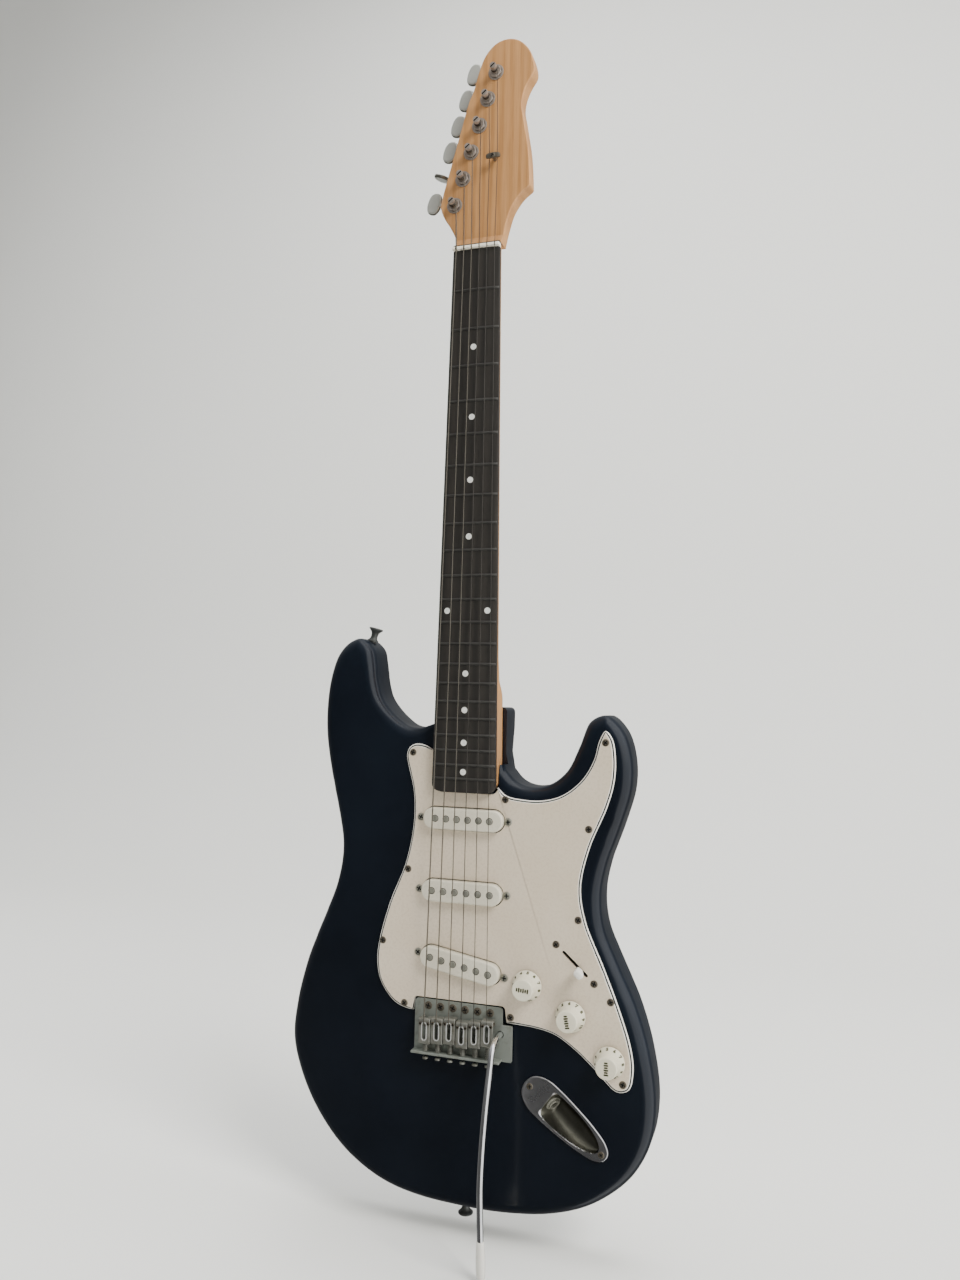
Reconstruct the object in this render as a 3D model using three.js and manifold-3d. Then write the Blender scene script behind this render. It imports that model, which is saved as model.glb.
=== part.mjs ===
// A solid-body electric guitar: a bolt-on neck, three single-coil pickups, a six-screw tremolo bridge and
// six tuners in line. Millimetres. +Z runs up the neck from the saddles, +X towards the treble strings, and
// the front faces -Y. The pieces are drawn with y = 0 on the body's front face; the group then moves the outer
// face of the rear cover to y = 0.
import * as THREE from "three";
import { mergeVertices } from "three/addons/utils/BufferGeometryUtils.js";
import Module from "manifold-3d";

const wasm = await Module();
wasm.setup();

// ---- driving dimensions ----
const GAP = 0.3; // between neighbouring pieces
const BODY_THICKNESS = 43;
const COVER_THICKNESS = 1.7;
const BACK = BODY_THICKNESS + GAP + COVER_THICKNESS; // outer face of the rear cover and the neck plate
const BODY_EDGE_RADIUS = 7;
const SCALE_LENGTH = 647.7;
const NUT_WIDTH = 42;
const HEEL_WIDTH = 56;
const HEEL_Z = 182.3; // end of the neck inside its pocket
const POCKET_DEPTH = 16;
const BODY_HEEL_Z = 253; // where the body stops behind the neck
const BOARD_FRONT = -9.5;
const BOARD_THICKNESS = 4.8;
const BOARD_BACK = BOARD_FRONT + BOARD_THICKNESS;
const HEADSTOCK_THICKNESS = 14;
const BOARD_CROWN = 1.1; // how far the fingerboard's edges fall back
const BOARD_END_Z = 181.2;
const GUARD_FRONT = -2.8;
const GUARD_BACK = -GAP;
const STRING_COUNT = 6;
const STRING_RADII = [0.58, 0.46, 0.34, 0.3, 0.3, 0.3]; // lowest string first
const NUT_STRING_SPACING = 7;
const NUT_STRING_Y = -11.3;
const SADDLE_STRING_SPACING = 10.8;
const SADDLE_STRING_Y = -14.4;
const SADDLE_HALF_WIDTH = 5;
const SADDLE_SETBACK = [7.5, 6.5, 5.5, 7, 5.5, 3.5]; // intonation, lowest string first
const PLATE_FRONT = -4.2; // tremolo base plate
const PLATE_BACK = -2.2;
const STRING_HOLE_Z = -15;
const STRING_HOLE_RADIUS = 1.6;
const TREE = { x: 12.6, z: 730 };
const SPRING_X = [-22, 0, 22];
const BLOCK_BACK = 38;
const ARM_SOCKET = { x: 36, z: -12.5, radius: 2.5 };
const KNOBS = [
  { name: "volume", x: 57.5, z: 28.8 },
  { name: "neck_tone", x: 93.8, z: 8.7 },
  { name: "middle_tone", x: 125.6, z: -22.7 },
];
const PICKUPS = [
  { name: "neck_pickup", z: 158.7, tilt: 0 },
  { name: "middle_pickup", z: 98.7, tilt: 0 },
  { name: "bridge_pickup", z: 39.4, tilt: 0.178 },
];
const SWITCH = { x: 96.4, z: 49.7, tilt: 0.724, pivotDepth: 17.2, throw: THREE.MathUtils.degToRad(13) };
const JACK = { x: 90, z: -72.7, tilt: 2.213 };
const UPPER_BUTTON = { x: -99.6, z: 309.4, tilt: 0.26 };
const TUNER_SPACING = 24.3;
const TUNER_LINE_TILT = THREE.MathUtils.degToRad(17);
const POST_RADIUS = 3;
const POST_STRING_Y = -5.4; // where a string leaves its post
const FIRST_POST = { x: -24, z: 693.5 };
const WORM_OFFSET = 6.5; // the worm's shaft passes beside the post
const WORM_Y = 19.7;
const BUTTON_REACH = 30; // from the post's axis to the button's middle

// ---- materials ----
function finish(color, roughness, metalness) {
  return new THREE.MeshStandardMaterial({ color, roughness, metalness });
}

const NAVY_LACQUER = [0x0b0e1c, 0.18, 0.1];
const MAPLE = [0xb8894f, 0.4, 0];
const ROSEWOOD = [0x2b2320, 0.55, 0];
const IVORY = [0xe6e0cf, 0.5, 0];
const WHITE_PLASTIC = [0xe9e6de, 0.35, 0];
const CHROME = [0xc9ccd0, 0.2, 1];
const NICKEL = [0x9b9a93, 0.38, 1];
const DARK_METAL = [0x2b2a2a, 0.45, 0.8];
const STEEL = [0xa9a9a6, 0.35, 1];

// ---- solids ----

// A closed geometry as a solid with its faces pointing out.
function solid(geometry) {
  const bare = new THREE.BufferGeometry();
  bare.setAttribute("position", geometry.getAttribute("position"));
  bare.setIndex(geometry.index);
  const merged = mergeVertices(bare, 1e-4);
  const corners = new Uint32Array(merged.index.array);
  const vertProperties = merged.attributes.position.array;
  const made = new wasm.Manifold(new wasm.Mesh({ numProp: 3, vertProperties, triVerts: corners }));
  return made.volume() < 0 ? new wasm.Manifold(new wasm.Mesh({
    numProp: 3, vertProperties, triVerts: corners.reverse(),
  })) : made;
}

const join = (first, ...others) => others.reduce((whole, other) => whole.add(other), first);
const cut = (first, ...tools) => tools.reduce((whole, tool) => whole.subtract(tool), first);

// A named mesh from a solid.
function piece(name, whole, look) {
  const { vertProperties, triVerts } = whole.getMesh();
  const geometry = new THREE.BufferGeometry();
  geometry.setAttribute("position", new THREE.BufferAttribute(vertProperties, 3));
  geometry.setIndex(new THREE.BufferAttribute(triVerts, 1));
  geometry.computeVertexNormals();
  const mesh = new THREE.Mesh(geometry, finish(...look));
  mesh.name = name;
  return mesh;
}

// A flat piece: its outline is drawn in x and z, and it runs from y = front to y = back.
function slab(outline, front, back, extra = {}) {
  const geometry = new THREE.ExtrudeGeometry(outline, {
    depth: back - front, bevelEnabled: false, curveSegments: 3, ...extra,
  });
  return solid(geometry.rotateX(Math.PI / 2).translate(0, back, 0));
}

// The same with its front and back edges rounded.
function roundedSlab(outline, front, back, radius, steps = 1) {
  return slab(outline, front + radius, back - radius, {
    bevelEnabled: true,
    bevelThickness: radius,
    bevelSize: radius,
    bevelOffset: -radius,
    bevelSegments: steps,
  });
}

function box(x0, x1, y0, y1, z0, z1) {
  const geometry = new THREE.BoxGeometry(x1 - x0, y1 - y0, z1 - z0);
  return solid(geometry.translate((x0 + x1) / 2, (y0 + y1) / 2, (z0 + z1) / 2));
}

// A piece of constant section across x: its outline is drawn in z and y.
function sideSlab(outline, halfWidth) {
  const geometry = new THREE.ExtrudeGeometry(outline, { depth: 2 * halfWidth, bevelEnabled: false });
  const swapped = new THREE.Matrix4().set(0, 0, 1, 0, 0, 1, 0, 0, 1, 0, 0, 0, 0, 0, 0, 1);
  return solid(geometry.translate(0, 0, -halfWidth).applyMatrix4(swapped));
}

// A round rod along y.
function rod(radius, front, back, x = 0, z = 0, sides = 16) {
  const geometry = new THREE.CylinderGeometry(radius, radius, back - front, sides);
  return solid(geometry.translate(x, (front + back) / 2, z));
}

// A round rod along x.
function crossRod(radius, x0, x1, y, z, sides = 12) {
  const geometry = new THREE.CylinderGeometry(radius, radius, x1 - x0, sides);
  return solid(geometry.rotateZ(Math.PI / 2).translate((x0 + x1) / 2, y, z));
}

// A turned piece about the y axis, from [radius, y] pairs.
function turned(profile, sides = 20) {
  return solid(new THREE.LatheGeometry(profile.map(([r, y]) => new THREE.Vector2(r, y)), sides));
}

// A skin over rings of equal length, with flat ends.
function loft(rings) {
  const around = rings[0].length;
  const corners = [];
  for (let ring = 0; ring + 1 < rings.length; ring++) {
    for (let i = 0; i < around; i++) {
      const a = ring * around + i;
      const b = ring * around + ((i + 1) % around);
      corners.push(a, b, a + around, b, b + around, a + around);
    }
  }
  const last = (rings.length - 1) * around;
  for (let i = 1; i + 1 < around; i++) {
    corners.push(0, i + 1, i, last, last + i, last + i + 1);
  }
  const geometry = new THREE.BufferGeometry().setFromPoints(rings.flat());
  geometry.setIndex(corners);
  return solid(geometry);
}

// A round wire through points that stay near a plane of constant x, with a radius at each point.
function wire(points, radii, sides = 6) {
  const sideways = new THREE.Vector3(1, 0, 0);
  return loft(points.map((point, i) => {
    const before = points[Math.max(i - 1, 0)];
    const after = points[Math.min(i + 1, points.length - 1)];
    const forward = after.clone().sub(before).normalize();
    const across = sideways.clone().addScaledVector(forward, -forward.x).normalize();
    const up = forward.clone().cross(across);
    return Array.from({ length: sides }, (_, k) => {
      const turn = (k / sides) * 2 * Math.PI;
      return point.clone()
        .addScaledVector(across, radii[i] * Math.cos(turn))
        .addScaledVector(up, radii[i] * Math.sin(turn));
    });
  }));
}

const vectors = (triples) => triples.map(([x, y, z]) => new THREE.Vector3(x, y, z));

// ---- outlines, in x and z ----

const polygon = (points) => new THREE.Shape(points.map(([x, z]) => new THREE.Vector2(x, z)));

// Points along a smooth curve through the given ones.
function smooth(points, steps, closed = false) {
  const knots = vectors(points.map(([x, z]) => [x, z, 0]));
  const curve = new THREE.CatmullRomCurve3(knots, closed, "centripetal");
  const along = curve.getSpacedPoints(steps).map((p) => [p.x, p.y]);
  return closed ? along.slice(0, -1) : along;
}

// A rectangle with rounded corners, centred on (x, z).
function roundedRectangle(width, height, radius, x = 0, z = 0) {
  const right = width / 2 - radius;
  const top = height / 2 - radius;
  const shape = new THREE.Shape();
  [[right, top, 0], [-right, top, 1], [-right, -top, 2], [right, -top, 3]].forEach(([cx, cz, quarter]) => {
    shape.absarc(x + cx, z + cz, radius, (quarter * Math.PI) / 2, ((quarter + 1) * Math.PI) / 2, false);
  });
  return shape;
}

// A bar with fully round ends.
function stadium(width, height) {
  const radius = height / 2;
  const reach = width / 2 - radius;
  const shape = new THREE.Shape();
  [[reach, 3], [reach, 0], [-reach, 1], [-reach, 2]].forEach(([x, quarter]) => {
    shape.absarc(x, 0, radius, (quarter * Math.PI) / 2, ((quarter + 1) * Math.PI) / 2, false);
  });
  return shape;
}

// The body's rim from the bass side of the neck pocket, round by the lower bout, to its treble side.
const BODY_RIM = smooth([
  [-31, 237.5], [-45, 233.8], [-57, 235], [-66.5, 241], [-76, 250], [-83, 260], [-87.5, 275], [-89.5, 290],
  [-93, 303], [-104.5, 311],
  [-116, 307.5], [-126, 296.5], [-132, 280], [-135.5, 258], [-135.5, 228], [-130, 195], [-121, 160], [-115.5, 128],
  [-120, 96], [-134, 62], [-150, 26], [-162, -14], [-166, -46], [-159, -72], [-142, -101], [-113, -129],
  [-78, -147], [-40, -156], [0, -158.5], [40, -157.5], [80, -151], [112, -138], [141, -114], [156, -87],
  [160.5, -56], [155.5, -18], [144.5, 18], [129, 51], [117.5, 78], [114.7, 103], [119, 128], [129.5, 158],
  [138.5, 190], [138, 216], [131, 236.5], [118, 248.3], [104, 243.5], [94.8, 222], [84.6, 201.5], [70, 190],
  [54, 187.4], [42, 191.5], [32.5, 201],
], 100);
const BODY_OUTLINE = [...BODY_RIM, [29.6, 215], [29.6, BODY_HEEL_Z], [-29, BODY_HEEL_Z]];

const GUARD_OUTLINE = [
  ...smooth([
    [29.3, 185], [35.5, 180], [49, 177.5], [66, 177.5], [83, 182.5], [99, 195.5], [108.7, 212], [113, 228],
    [118, 236], [123.5, 230], [126.5, 214], [125.5, 194], [119.9, 174], [106.6, 142], [99.8, 110],
    [104, 84], [119.5, 48.7], [131.8, 19.2], [141.7, -10.2], [144, -28], [140.5, -43], [131, -45.5],
    [112.7, -30.1], [97.2, -17.6], [80.7, -8], [64, -4.6], [47, -3.8], [39.5, -3.4],
  ], 60),
  [39.3, 10.2], [-40.5, 10.2], [-40.5, -2],
  ...smooth([
    [-43, -2], [-59, 2.4], [-71.9, 17.6], [-76, 34], [-74.8, 51], [-65.7, 85], [-52, 120], [-45.9, 154],
    [-46.8, 180], [-52.4, 202], [-54, 210], [-51.6, 217], [-46, 220], [-37.2, 219.2], [-29.3, 215],
  ], 36),
  [-29.3, 181.6], [29.3, 181.6],
];

const HEADSTOCK_OUTLINE = [
  [-22.3, 662], [-27, 670], [-33, 682], [-37.6, 692], [-35.2, 707],
  ...smooth([
    [-19.3, 765.6], [-13.3, 787.5], [-9.4, 796.5], [-4, 815.5], [1.5, 828], [11, 837], [21, 839.2],
    [31, 836.5], [41, 826.5], [46.5, 811], [46.6, 805],
  ], 22),
  ...smooth([[42, 798], [37.5, 788], [35.7, 777], [38.1, 762.5], [42.8, 734], [44.4, 706]], 14),
  ...smooth([[43.3, 702], [36.4, 696.7], [28, 684.5], [23.8, 671], [22.3, 662]], 8),
];

// ---- body and neck ----

function neckWidthAt(z) {
  const share = (SCALE_LENGTH - z) / (SCALE_LENGTH - HEEL_Z);
  return NUT_WIDTH + (HEEL_WIDTH - NUT_WIDTH) * share;
}

// One D-shaped section of the neck: flat in front, and squarer behind as the power rises.
function neckRing(z, halfWidth, front, back, power) {
  const steps = 12;
  return Array.from({ length: steps + 1 }, (_, i) => {
    const turn = (i / steps) * Math.PI;
    const bend = (value) => Math.sign(value) * Math.abs(value) ** (2 / power);
    const y = front + (back - front) * bend(Math.sin(turn));
    return new THREE.Vector3(halfWidth * bend(Math.cos(turn)), y, z);
  });
}

function tunerPlace(index) {
  return {
    x: FIRST_POST.x + index * TUNER_SPACING * Math.sin(TUNER_LINE_TILT),
    z: FIRST_POST.z + index * TUNER_SPACING * Math.cos(TUNER_LINE_TILT),
  };
}

function makeNeck() {
  const heelBack = POCKET_DEPTH - GAP;
  const front = BOARD_BACK + GAP;
  const shaft = loft([
    [HEEL_Z, front, heelBack, 12], [258, front, heelBack, 12], [267, front, 15, 5], [282, front, 13.9, 2.6],
    [330, front, 13.3, 2.2], [500, front, 12.1, 2.1], [SCALE_LENGTH, front, 11.3, 2.1],
  ].map(([z, y0, y1, power]) => neckRing(z, neckWidthAt(z) / 2, y0, y1, power)));
  const throat = loft([
    [SCALE_LENGTH - 1, 21, front, 11.3, 2.1], [652, 21, front, 11.5, 2.3], [658, 21.2, -3, 12.3, 3.6],
    [666, 21.7, -0.8, 13.3, 6], [678, 22, 0.2, 13.9, 12],
  ].map((ring) => neckRing(...ring)));
  const holes = Array.from({ length: STRING_COUNT }, (_, i) => {
    const { x, z } = tunerPlace(i);
    return rod(5.2, -5, HEADSTOCK_THICKNESS + 5, x, z);
  });
  return cut(join(shaft, throat, slab(polygon(HEADSTOCK_OUTLINE), 0, HEADSTOCK_THICKNESS)), ...holes);
}

// The fingerboard: crowned across, tapered to the nut, with its rounded end over the pickguard.
function makeFingerboard() {
  const ring = (z, inset) => {
    const half = neckWidthAt(z) / 2 - inset;
    const across = [-1, -0.6, -0.2, 0.2, 0.6, 1];
    const crown = across.map((share) => [half * share, BOARD_FRONT + BOARD_CROWN * share ** 2, z]);
    return vectors([...crown, [half, BOARD_BACK, z], [-half, BOARD_BACK, z]]);
  };
  return loft([
    ring(BOARD_END_Z, 9), ring(BOARD_END_Z + 1.2, 3), ring(BOARD_END_Z + 3.2, 0.7), ring(BOARD_END_Z + 6, 0),
    ring(SCALE_LENGTH - GAP, 0),
  ]);
}

function nutStringX(index) {
  return (index - (STRING_COUNT - 1) / 2) * NUT_STRING_SPACING;
}

function saddleStringX(index) {
  return (index - (STRING_COUNT - 1) / 2) * SADDLE_STRING_SPACING;
}

function makeNut() {
  const blank = box(-NUT_WIDTH / 2, NUT_WIDTH / 2, -12.1, BOARD_BACK, SCALE_LENGTH, SCALE_LENGTH + 3.2);
  const notches = STRING_RADII.map((radius, i) => {
    const reach = radius + GAP;
    const x = nutStringX(i);
    return box(x - reach, x + reach, -20, NUT_STRING_Y + reach, SCALE_LENGTH - 5, SCALE_LENGTH + 8);
  });
  return cut(blank, ...notches);
}

function turnedBy(whole, tilt, x, z) {
  return whole.rotate([0, THREE.MathUtils.radToDeg(tilt), 0]).translate([x, 0, z]);
}

function makeBody() {
  const blank = roundedSlab(polygon(BODY_OUTLINE), 0, BODY_THICKNESS, BODY_EDGE_RADIUS, 2);
  const pocket = box(-28.6, 28.6, -5, POCKET_DEPTH, HEEL_Z - 0.5, 300);
  const openTreble = box(0, 45, -5, POCKET_DEPTH, 205, 300);
  const openBass = box(-45, 0, -5, POCKET_DEPTH, 238, 300);
  const pickupRoutes = PICKUPS.map(({ z, tilt }) => {
    return turnedBy(slab(roundedRectangle(92, 24, 9), -5, 19), tilt, 0, z);
  });
  const controls = slab(polygon([
    [48, 44], [70, 78], [90, 80], [122, 38], [117.5, 28], [118.5, 18], [132, -6], [137.5, -22], [132, -33],
    [118, -33], [96, -12], [62, 4], [48, 10],
  ]), -5, 32);
  const blockSlot = box(-37, 45, -5, 30, -28.5, -4.8);
  const springRoute = slab(roundedRectangle(78, 141, 6, 0, 37.5), 25, 60);
  const blockRoute = box(-37, 45, 25, 60, -33, 2);
  const jackRoute = turnedBy(box(-12, 12, -5, 34, -36, 34), JACK.tilt, JACK.x, JACK.z);
  const neckJoint = [pocket, openTreble, openBass];
  const tremoloRoutes = [blockSlot, springRoute, blockRoute];
  return cut(blank, ...neckJoint, ...pickupRoutes, controls, ...tremoloRoutes, jackRoute);
}

// ---- pickguard and electrics ----

function makePickguard() {
  const openings = PICKUPS.map(({ z, tilt }) => {
    return turnedBy(slab(stadium(70.6, 18.6), -9, 5), tilt, 0, z);
  });
  const shaftHoles = KNOBS.map(({ x, z }) => rod(4.1, -9, 5, x, z));
  const slot = turnedBy(box(-13.2, 13.2, -9, 5, -1.2, 1.2), SWITCH.tilt, SWITCH.x, SWITCH.z);
  return cut(slab(polygon(GUARD_OUTLINE), GUARD_FRONT, GUARD_BACK), ...openings, ...shaftHoles, slot);
}

// A pickup: its cover, six pole tops and the bobbin's base under the pickguard.
function makePickup() {
  const cover = roundedSlab(stadium(70, 18), -8.7, 4, 1);
  const base = box(-41, 41, 0.4, 3, -9, 9);
  const coil = box(-31, 31, 3, 15, -7, 7);
  const poles = Array.from({ length: STRING_COUNT }, (_, i) => {
    return rod(2.4, -9.7, 0, (i - 2.5) * 10.12, 0, 6);
  });
  return join(cover, base, coil, ...poles);
}

function makePot() {
  return turned([[0, 11], [8, 11], [8, 1.5], [3.7, 1.5], [3.7, -5], [3, -5], [3, -12], [0, -12]], 14);
}

// A skirted knob with a blind bore for the pot's shaft and a recess for its nut.
function makeKnob() {
  return turned([
    [6, -3.8], [12.2, -3.8], [12.2, -5], [10.3, -8], [9.2, -10.8], [8.6, -18.6], [8, -19.2], [0, -19.2],
    [0, -12.6], [3.4, -12.6], [3.4, -5.6], [6, -5.6], [6, -3.8],
  ], 18);
}

function makeSwitchFrame() {
  return cut(box(-24, 24, 0.4, 19, -7, 7), box(-19, 19, -5, 14, -1.6, 1.6), box(-5, 5, 10, 25, -1.6, 1.6));
}

// The blade stands on its pivot at the origin and carries a rounded tip.
function makeLever() {
  const blade = box(-2.2, 2.2, -27, 0, -0.7, 0.7);
  const boss = rod(3, -0.7, 0.7, 0, 0, 12).rotate([90, 0, 0]);
  const tip = roundedSlab(stadium(8, 6.4), -34.5, -25, 2);
  return join(blade, boss, tip);
}

// The recessed jack plate: an egg-shaped plate with a trough whose steep end holds the socket.
const JACK_WALL = { top: -19, bottom: -11, depth: 14 };

function trough(halfWidth, grow) {
  return sideSlab(polygon([
    [JACK_WALL.top - grow, -3], [JACK_WALL.top - grow, 0], [JACK_WALL.bottom - grow, JACK_WALL.depth + grow],
    [JACK_WALL.bottom + 6, JACK_WALL.depth + grow], [31 + grow, 0], [31 + grow, -3],
  ]), halfWidth);
}

function makeJackPlate() {
  const wall = 1.3;
  const halfWidth = 9.5;
  const egg = polygon(smooth([
    [0, -41.5], [9, -38.5], [14.5, -29], [15.5, -16], [14.5, 2], [12, 22], [8.5, 35], [3.5, 41.2],
    [-3.5, 41.2], [-8.5, 35], [-12, 22], [-14.5, 2], [-15.5, -16], [-14.5, -29], [-9, -38.5],
  ], 32, true));
  const plate = slab(egg, -1.8, GUARD_BACK);
  const above = box(-40, 40, -20, -1.8, -60, 60);
  const shell = cut(trough(halfWidth + wall, wall), above);
  return cut(join(plate, shell), trough(halfWidth, 0), jackAlong(rod(4.9, -8, 8)));
}

// Turns a piece made along y into the socket's direction and moves it to the trough's steep wall.
function jackAlong(whole) {
  const lean = Math.atan2(JACK_WALL.bottom - JACK_WALL.top, JACK_WALL.depth);
  const middle = (JACK_WALL.top + JACK_WALL.bottom) / 2;
  const degrees = 90 - THREE.MathUtils.radToDeg(lean);
  return whole.rotate([-degrees, 0, 0]).translate([0, JACK_WALL.depth / 2, middle]);
}

function makeJackSocket() {
  const bore = 3.2;
  return jackAlong(turned([
    [bore, -3.2], [6.2, -3.2], [6.2, -0.3], [4.5, -0.3], [4.5, 1.7], [6.3, 1.7], [6.3, 3.5], [4.5, 3.5],
    [4.5, 14], [bore, 14], [bore, -3.2],
  ], 14));
}

// ---- bridge ----

function makeBridgePlate() {
  const outline = new THREE.Shape();
  outline.moveTo(-36.5, 8.5).lineTo(35, 8.5).quadraticCurveTo(37.5, 8.5, 37.5, 6).lineTo(37.5, -5);
  outline.lineTo(46, -5).lineTo(46, -32.3).lineTo(37.5, -32.3).lineTo(37.5, -34).lineTo(-39, -34);
  outline.lineTo(-39, 6).quadraticCurveTo(-39, 8.5, -36.5, 8.5);
  const base = slab(outline, PLATE_FRONT, PLATE_BACK);
  const lip = box(-39, 37.5, -12.2, PLATE_FRONT + 0.5, -34, -32);
  const holes = Array.from({ length: STRING_COUNT }, (_, i) => {
    return rod(STRING_HOLE_RADIUS, -9, 5, saddleStringX(i), STRING_HOLE_Z, 6);
  });
  return cut(join(base, lip), ...holes, rod(ARM_SOCKET.radius + GAP, -9, 5, ARM_SOCKET.x, ARM_SOCKET.z, 12));
}

function makeTremoloBlock() {
  const block = box(-34, 41, PLATE_BACK + GAP, BLOCK_BACK, -21, -9);
  const holes = Array.from({ length: STRING_COUNT }, (_, i) => {
    return rod(STRING_HOLE_RADIUS, -9, 60, saddleStringX(i), STRING_HOLE_Z, 6);
  });
  return cut(block, ...holes, rod(ARM_SOCKET.radius + GAP, -9, 17, ARM_SOCKET.x, ARM_SOCKET.z, 12));
}

// A bent strip with a long slot for the string, standing on two height screws. The string crosses it at the
// origin's z, and the strip runs back from there.
function makeSaddle() {
  const top = SADDLE_STRING_Y + STRING_RADII[0] + GAP;
  const side = polygon([
    [3, -5.4], [3, top + 1.8], [1.2, top], [-18, top], [-18, -5.6], [-16.4, -5.6], [-16.4, top + 1.6],
    [1, top + 1.6], [1.4, top + 2.4], [1.4, -5.4],
  ]);
  const slot = box(-1.5, 1.5, -30, top + 5, -14, -0.2);
  const frontGap = box(-1.5, 1.5, top + 3, 0, -2, 5);
  const screws = [-3.4, 3.4].map((x) => rod(1.3, top + 1, PLATE_FRONT - GAP, x, -1.2, 6));
  return cut(join(sideSlab(side, SADDLE_HALF_WIDTH), ...screws), slot, frontGap);
}

function makeArm() {
  const path = new THREE.CatmullRomCurve3(vectors([
    [0, 13, 0], [0, 0, 0], [0, -16, 0], [0, -26, -5], [0, -32, -18], [0, -45, -58], [0, -50.5, -96],
    [0, -49, -118], [0, -46, -141],
  ]), false, "centripetal");
  const section = new THREE.Shape().absarc(0, 0, ARM_SOCKET.radius, 0, 2 * Math.PI, false);
  const bar = new THREE.ExtrudeGeometry(section, { steps: 18, extrudePath: path, curveSegments: 5 });
  const tipLine = vectors([
    [0, -46.6, -138], [0, -46, -142], [0, -43.8, -160], [0, -42.5, -171], [0, -42.2, -173],
  ]);
  return join(solid(bar), wire(tipLine, [2.7, 3.1, 3.7, 3, 1.2], 12));
}

// ---- tuners ----

// A sealed gear case behind the headstock with its threaded sleeve and hexagonal nut in front.
function makeTunerHousing() {
  const caseBlock = slab(roundedRectangle(19, 22.6, 4, 0, 2.3), HEADSTOCK_THICKNESS + GAP, 25.3);
  const sleeve = rod(4.8, -1, HEADSTOCK_THICKNESS + 1, 0, 0, 12);
  const nut = rod(5.9, -2.4, -GAP, 0, 0, 6);
  const collar = crossRod(3.7, -14, -8, WORM_Y, WORM_OFFSET, 10);
  const whole = join(caseBlock, sleeve, nut, collar);
  return cut(whole, rod(POST_RADIUS + 0.4, -9, 22, 0, 0, 12), crossRod(2.6, -20, 3, WORM_Y, WORM_OFFSET, 8));
}

// A post, waisted where the string winds.
function makeTunerPost() {
  return turned([
    [0, 21.5], [POST_RADIUS, 21.5], [POST_RADIUS, -3], [2.5, -3.8], [2.5, -7], [POST_RADIUS, -7.8],
    [POST_RADIUS, -10.4], [2.4, -11], [0, -11],
  ], 10);
}

// An oval button on the worm's shaft, with the shaft's axis on the x axis.
function makeTunerButton() {
  const oval = new THREE.Shape().absellipse(-BUTTON_REACH, 0, 5.8, 9.3, 0, 2 * Math.PI, false, 0);
  const shaft = crossRod(2.2, -BUTTON_REACH + 2, 2.5, 0, 0, 8);
  return join(slab(oval, -2, 2, {
    curveSegments: 7,
    bevelEnabled: true,
    bevelThickness: 1.6,
    bevelSize: 1.6,
    bevelOffset: -1.6,
    bevelSegments: 1,
  }), shaft);
}

// ---- strings ----

// A string runs from its post, under the tree on the two highest, over the nut and the saddle, through the
// plate and down into the block.
function makeString(index) {
  const radius = STRING_RADII[index];
  const post = tunerPlace(index);
  const x = saddleStringX(index);
  const saddleZ = -SADDLE_SETBACK[index];
  const tree = index >= 4 ? [[nutStringX(index) - (index === 4 ? 1.6 : 1.2), POST_STRING_Y, TREE.z]] : [];
  const points = [
    [post.x + POST_RADIUS + GAP + radius, POST_STRING_Y, post.z + 1],
    ...tree,
    [nutStringX(index), NUT_STRING_Y, SCALE_LENGTH + 3.5],
    [nutStringX(index), NUT_STRING_Y, SCALE_LENGTH],
    [x, SADDLE_STRING_Y, saddleZ],
    [x, SADDLE_STRING_Y + 1.6, saddleZ - 2.6],
    [x, PLATE_FRONT, STRING_HOLE_Z],
    [x, BLOCK_BACK - 4, STRING_HOLE_Z],
  ];
  return wire(vectors(points), points.map(() => radius));
}

function makeStringTree() {
  return join(rod(1.6, -8, -GAP, 0, 0, 10), slab(roundedRectangle(12.5, 4.6, 1.5), -8.2, -6.2));
}

// ---- rear fittings ----

function makeNeckPlate() {
  return slab(roundedRectangle(51, 62, 4, 0, 219), BODY_THICKNESS + GAP, BACK);
}

function makeRearCover() {
  const stringSlot = slab(roundedRectangle(62, 12, 5.5, 0, STRING_HOLE_Z), 0, 99);
  const plate = slab(roundedRectangle(96, 158, 7, 2, 37.5), BODY_THICKNESS + GAP, BACK);
  return cut(plate, stringSlot);
}

// The claw that anchors the springs: an upright plate with three hooks bent towards the block.
function makeSpringClaw() {
  const hooks = SPRING_X.map((x) => box(x - 2, x + 2, 29, 30.6, 96, 101));
  return join(box(-30, 30, 29, 40, 100.5, 102.5), ...hooks);
}

// A tremolo spring as its outer tube, with a straight hook at each end.
function makeSpring() {
  const y = 34.5;
  return wire(vectors([
    [0, y, -8.6], [0, y, 2], [0, y, 4], [0, y, 84], [0, y, 86], [0, y, 100],
  ]), [0.9, 0.9, 3.7, 3.7, 0.9, 0.9], 8);
}

// A strap button standing along +z from its base.
function makeStrapButton() {
  return turned([
    [0, 0], [5, 0], [5, 1], [3.1, 2.6], [3.1, 7], [6.3, 10.6], [6.3, 11.6], [5.6, 12.2], [0, 12.2],
  ], 14).rotate([90, 0, 0]);
}

// ---- assembly ----

const guitar = new THREE.Group();
guitar.position.y = -BACK;

function place(mesh, x, y, z, tiltAboutY = 0) {
  mesh.position.set(x, y, z);
  mesh.rotation.y = tiltAboutY;
  guitar.add(mesh);
  return mesh;
}

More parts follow.
